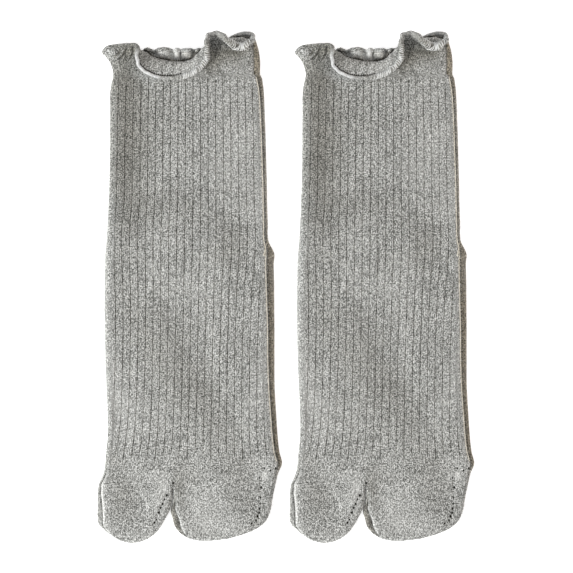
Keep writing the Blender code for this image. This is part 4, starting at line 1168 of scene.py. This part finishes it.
row_tree = stitch_row()
seam_thread = spun_fibre("beige_seam_thread", 900.0, [(0.35, "#BFB8A6"), (0.65, "#E6E1D2")],
                         Roughness=0.85, Specular_IOR_Level=0.2, Sheen_Weight=0.2)
seam_lines = [(own(face_edge) + np.array([0.0001, 0.0, 0.0001]), 0.55)]
seam_lines += [(on_face(seam, 0.0), 0.8) for seam in HEEL_SEAMS]
seams = [grown("seam", point_mesh(line), row_tree, Pitch=1.1 * MM, Length=1.3 * MM,
               Width=width * MM, Lean=0.35, Seed=3, Material=seam_thread)
         for line, width in seam_lines]

# dark dents and beads that stand in for the shade in the knit's small gaps: painted shade
gap_shade = material_tree("painted_shade_knit_gap", Roughness=1.0, Specular_IOR_Level=0.0,
                          Base_Color=linear("#22211D"))[0]
dot_tree = eyelets()
gaps = [grown("eyelets", point_mesh(on_face(spots, sink), joined=False), dot_tree,
              Smallest=smallest * MM, Largest=largest * MM, Seed=7, Material=gap_shade)
        for spots, sink, smallest, largest in ((EYELETS, 0.0, 0.50, 0.74),
                                               (DROPPED, -0.3, 0.36, 0.46))]
gaps.append(grown("eyelets", point_mesh(own(neck_gap)), row_tree, Pitch=1.25 * MM,
                  Length=0.95 * MM, Width=0.85 * MM, Lean=0.3, Seed=5, Material=gap_shade))

loose_fibre = spun_fibre("pale_cotton_nap", 400.0, [(0.35, "#A9AAA5"), (0.6, "#E9E9E5")],
                         Roughness=0.95, Sheen_Weight=0.5, Specular_IOR_Level=0.1)
nap = grown("nap", knit_mesh, nap_fibres(), Density=NAP_DENSITY, Length=1.6 * MM,
            Thickness=0.05 * MM, Lean=0.8, Seed=9, Material=loose_fibre)
ends = np.empty(len(nap.vertices) * 3)
nap.vertices.foreach_get("co", ends)
ends[2::3] = np.maximum(ends[2::3], 0.0)    # the lowest fibres lie along the surface
nap.vertices.foreach_set("co", ends)

for side, shift in (("left", -SOCK_PITCH / 2), ("right", SOCK_PITCH / 2)):
    for part, patterns in (("knit", [knit_mesh]), ("roll_stitches", [roll_stitches]),
                           ("seam_stitches", seams), ("eyelets", gaps), ("nap", [nap])):
        mesh = joined(patterns)
        mesh.transform(Matrix.Translation((shift * MM, 0, 0)))
        piece = placed(f"sock_{side}_{part}", mesh)
        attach(piece, "root")
    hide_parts(f"sock_{side}")

# ---------------------------------------------------------------- floor, light and camera
FLOOR_HALF, FLOOR_Z = 2, -0.0002
floor_mesh = bpy.data.meshes.new("floor")
floor_mesh.from_pydata([(x * FLOOR_HALF, y * FLOOR_HALF, FLOOR_Z)
                        for x, y in ((-1, -1), (1, -1), (1, 1), (-1, 1))], [], [(0, 1, 2, 3)])
# opal acrylic of a light table: off white, no gloss, lit from below so that shadows stay faint
floor_mesh.materials.append(material_tree(
    "opal_light_table", Base_Color=linear("#F7F7F6"), Roughness=0.9, Specular_IOR_Level=0.1,
    Emission_Color=linear("#FFFFFF"), Emission_Strength=0.62)[0])
placed("floor", floor_mesh)

for name, place, size, power, colour in (
        ("window_light", (-1.25, -0.75, 0.86), 0.6, 34.0, "#FFFFFF"),
        ("warm_fill", (1.3, 0.3, 0.7), 0.8, 6.0, "#FFF0E0")):
    light = bpy.data.lights.new(name, "AREA")
    light.shape, light.size, light.energy, light.color = "SQUARE", size, power, linear(colour)[:3]
    lamp = placed(name, light)
    lamp.location = place
    lamp.rotation_euler = (-Vector(place)).to_track_quat("-Z", "Y").to_euler()

world = bpy.data.worlds.new("studio")
world.use_nodes = True
world.node_tree.nodes["Background"].inputs[0].default_value = linear("#FBFBFF")
world.node_tree.nodes["Background"].inputs[1].default_value = 0.53
bpy.context.scene.world = world
bpy.context.scene.view_settings.view_transform = "Standard"

LENS, SENSOR, FRAME_WIDTH, FACE_HEIGHT = 85.0, 36.0, 0.3209, 0.0045
camera = placed("camera", bpy.data.cameras.new("camera"))
camera.data.lens, camera.data.sensor_width = LENS, SENSOR
camera.data.clip_start, camera.data.clip_end = 0.05, 10.0
camera.location = (-CENTRE[0] * MM, -CENTRE[1] * MM, FRAME_WIDTH * LENS / SENSOR + FACE_HEIGHT)
bpy.context.scene.camera = camera
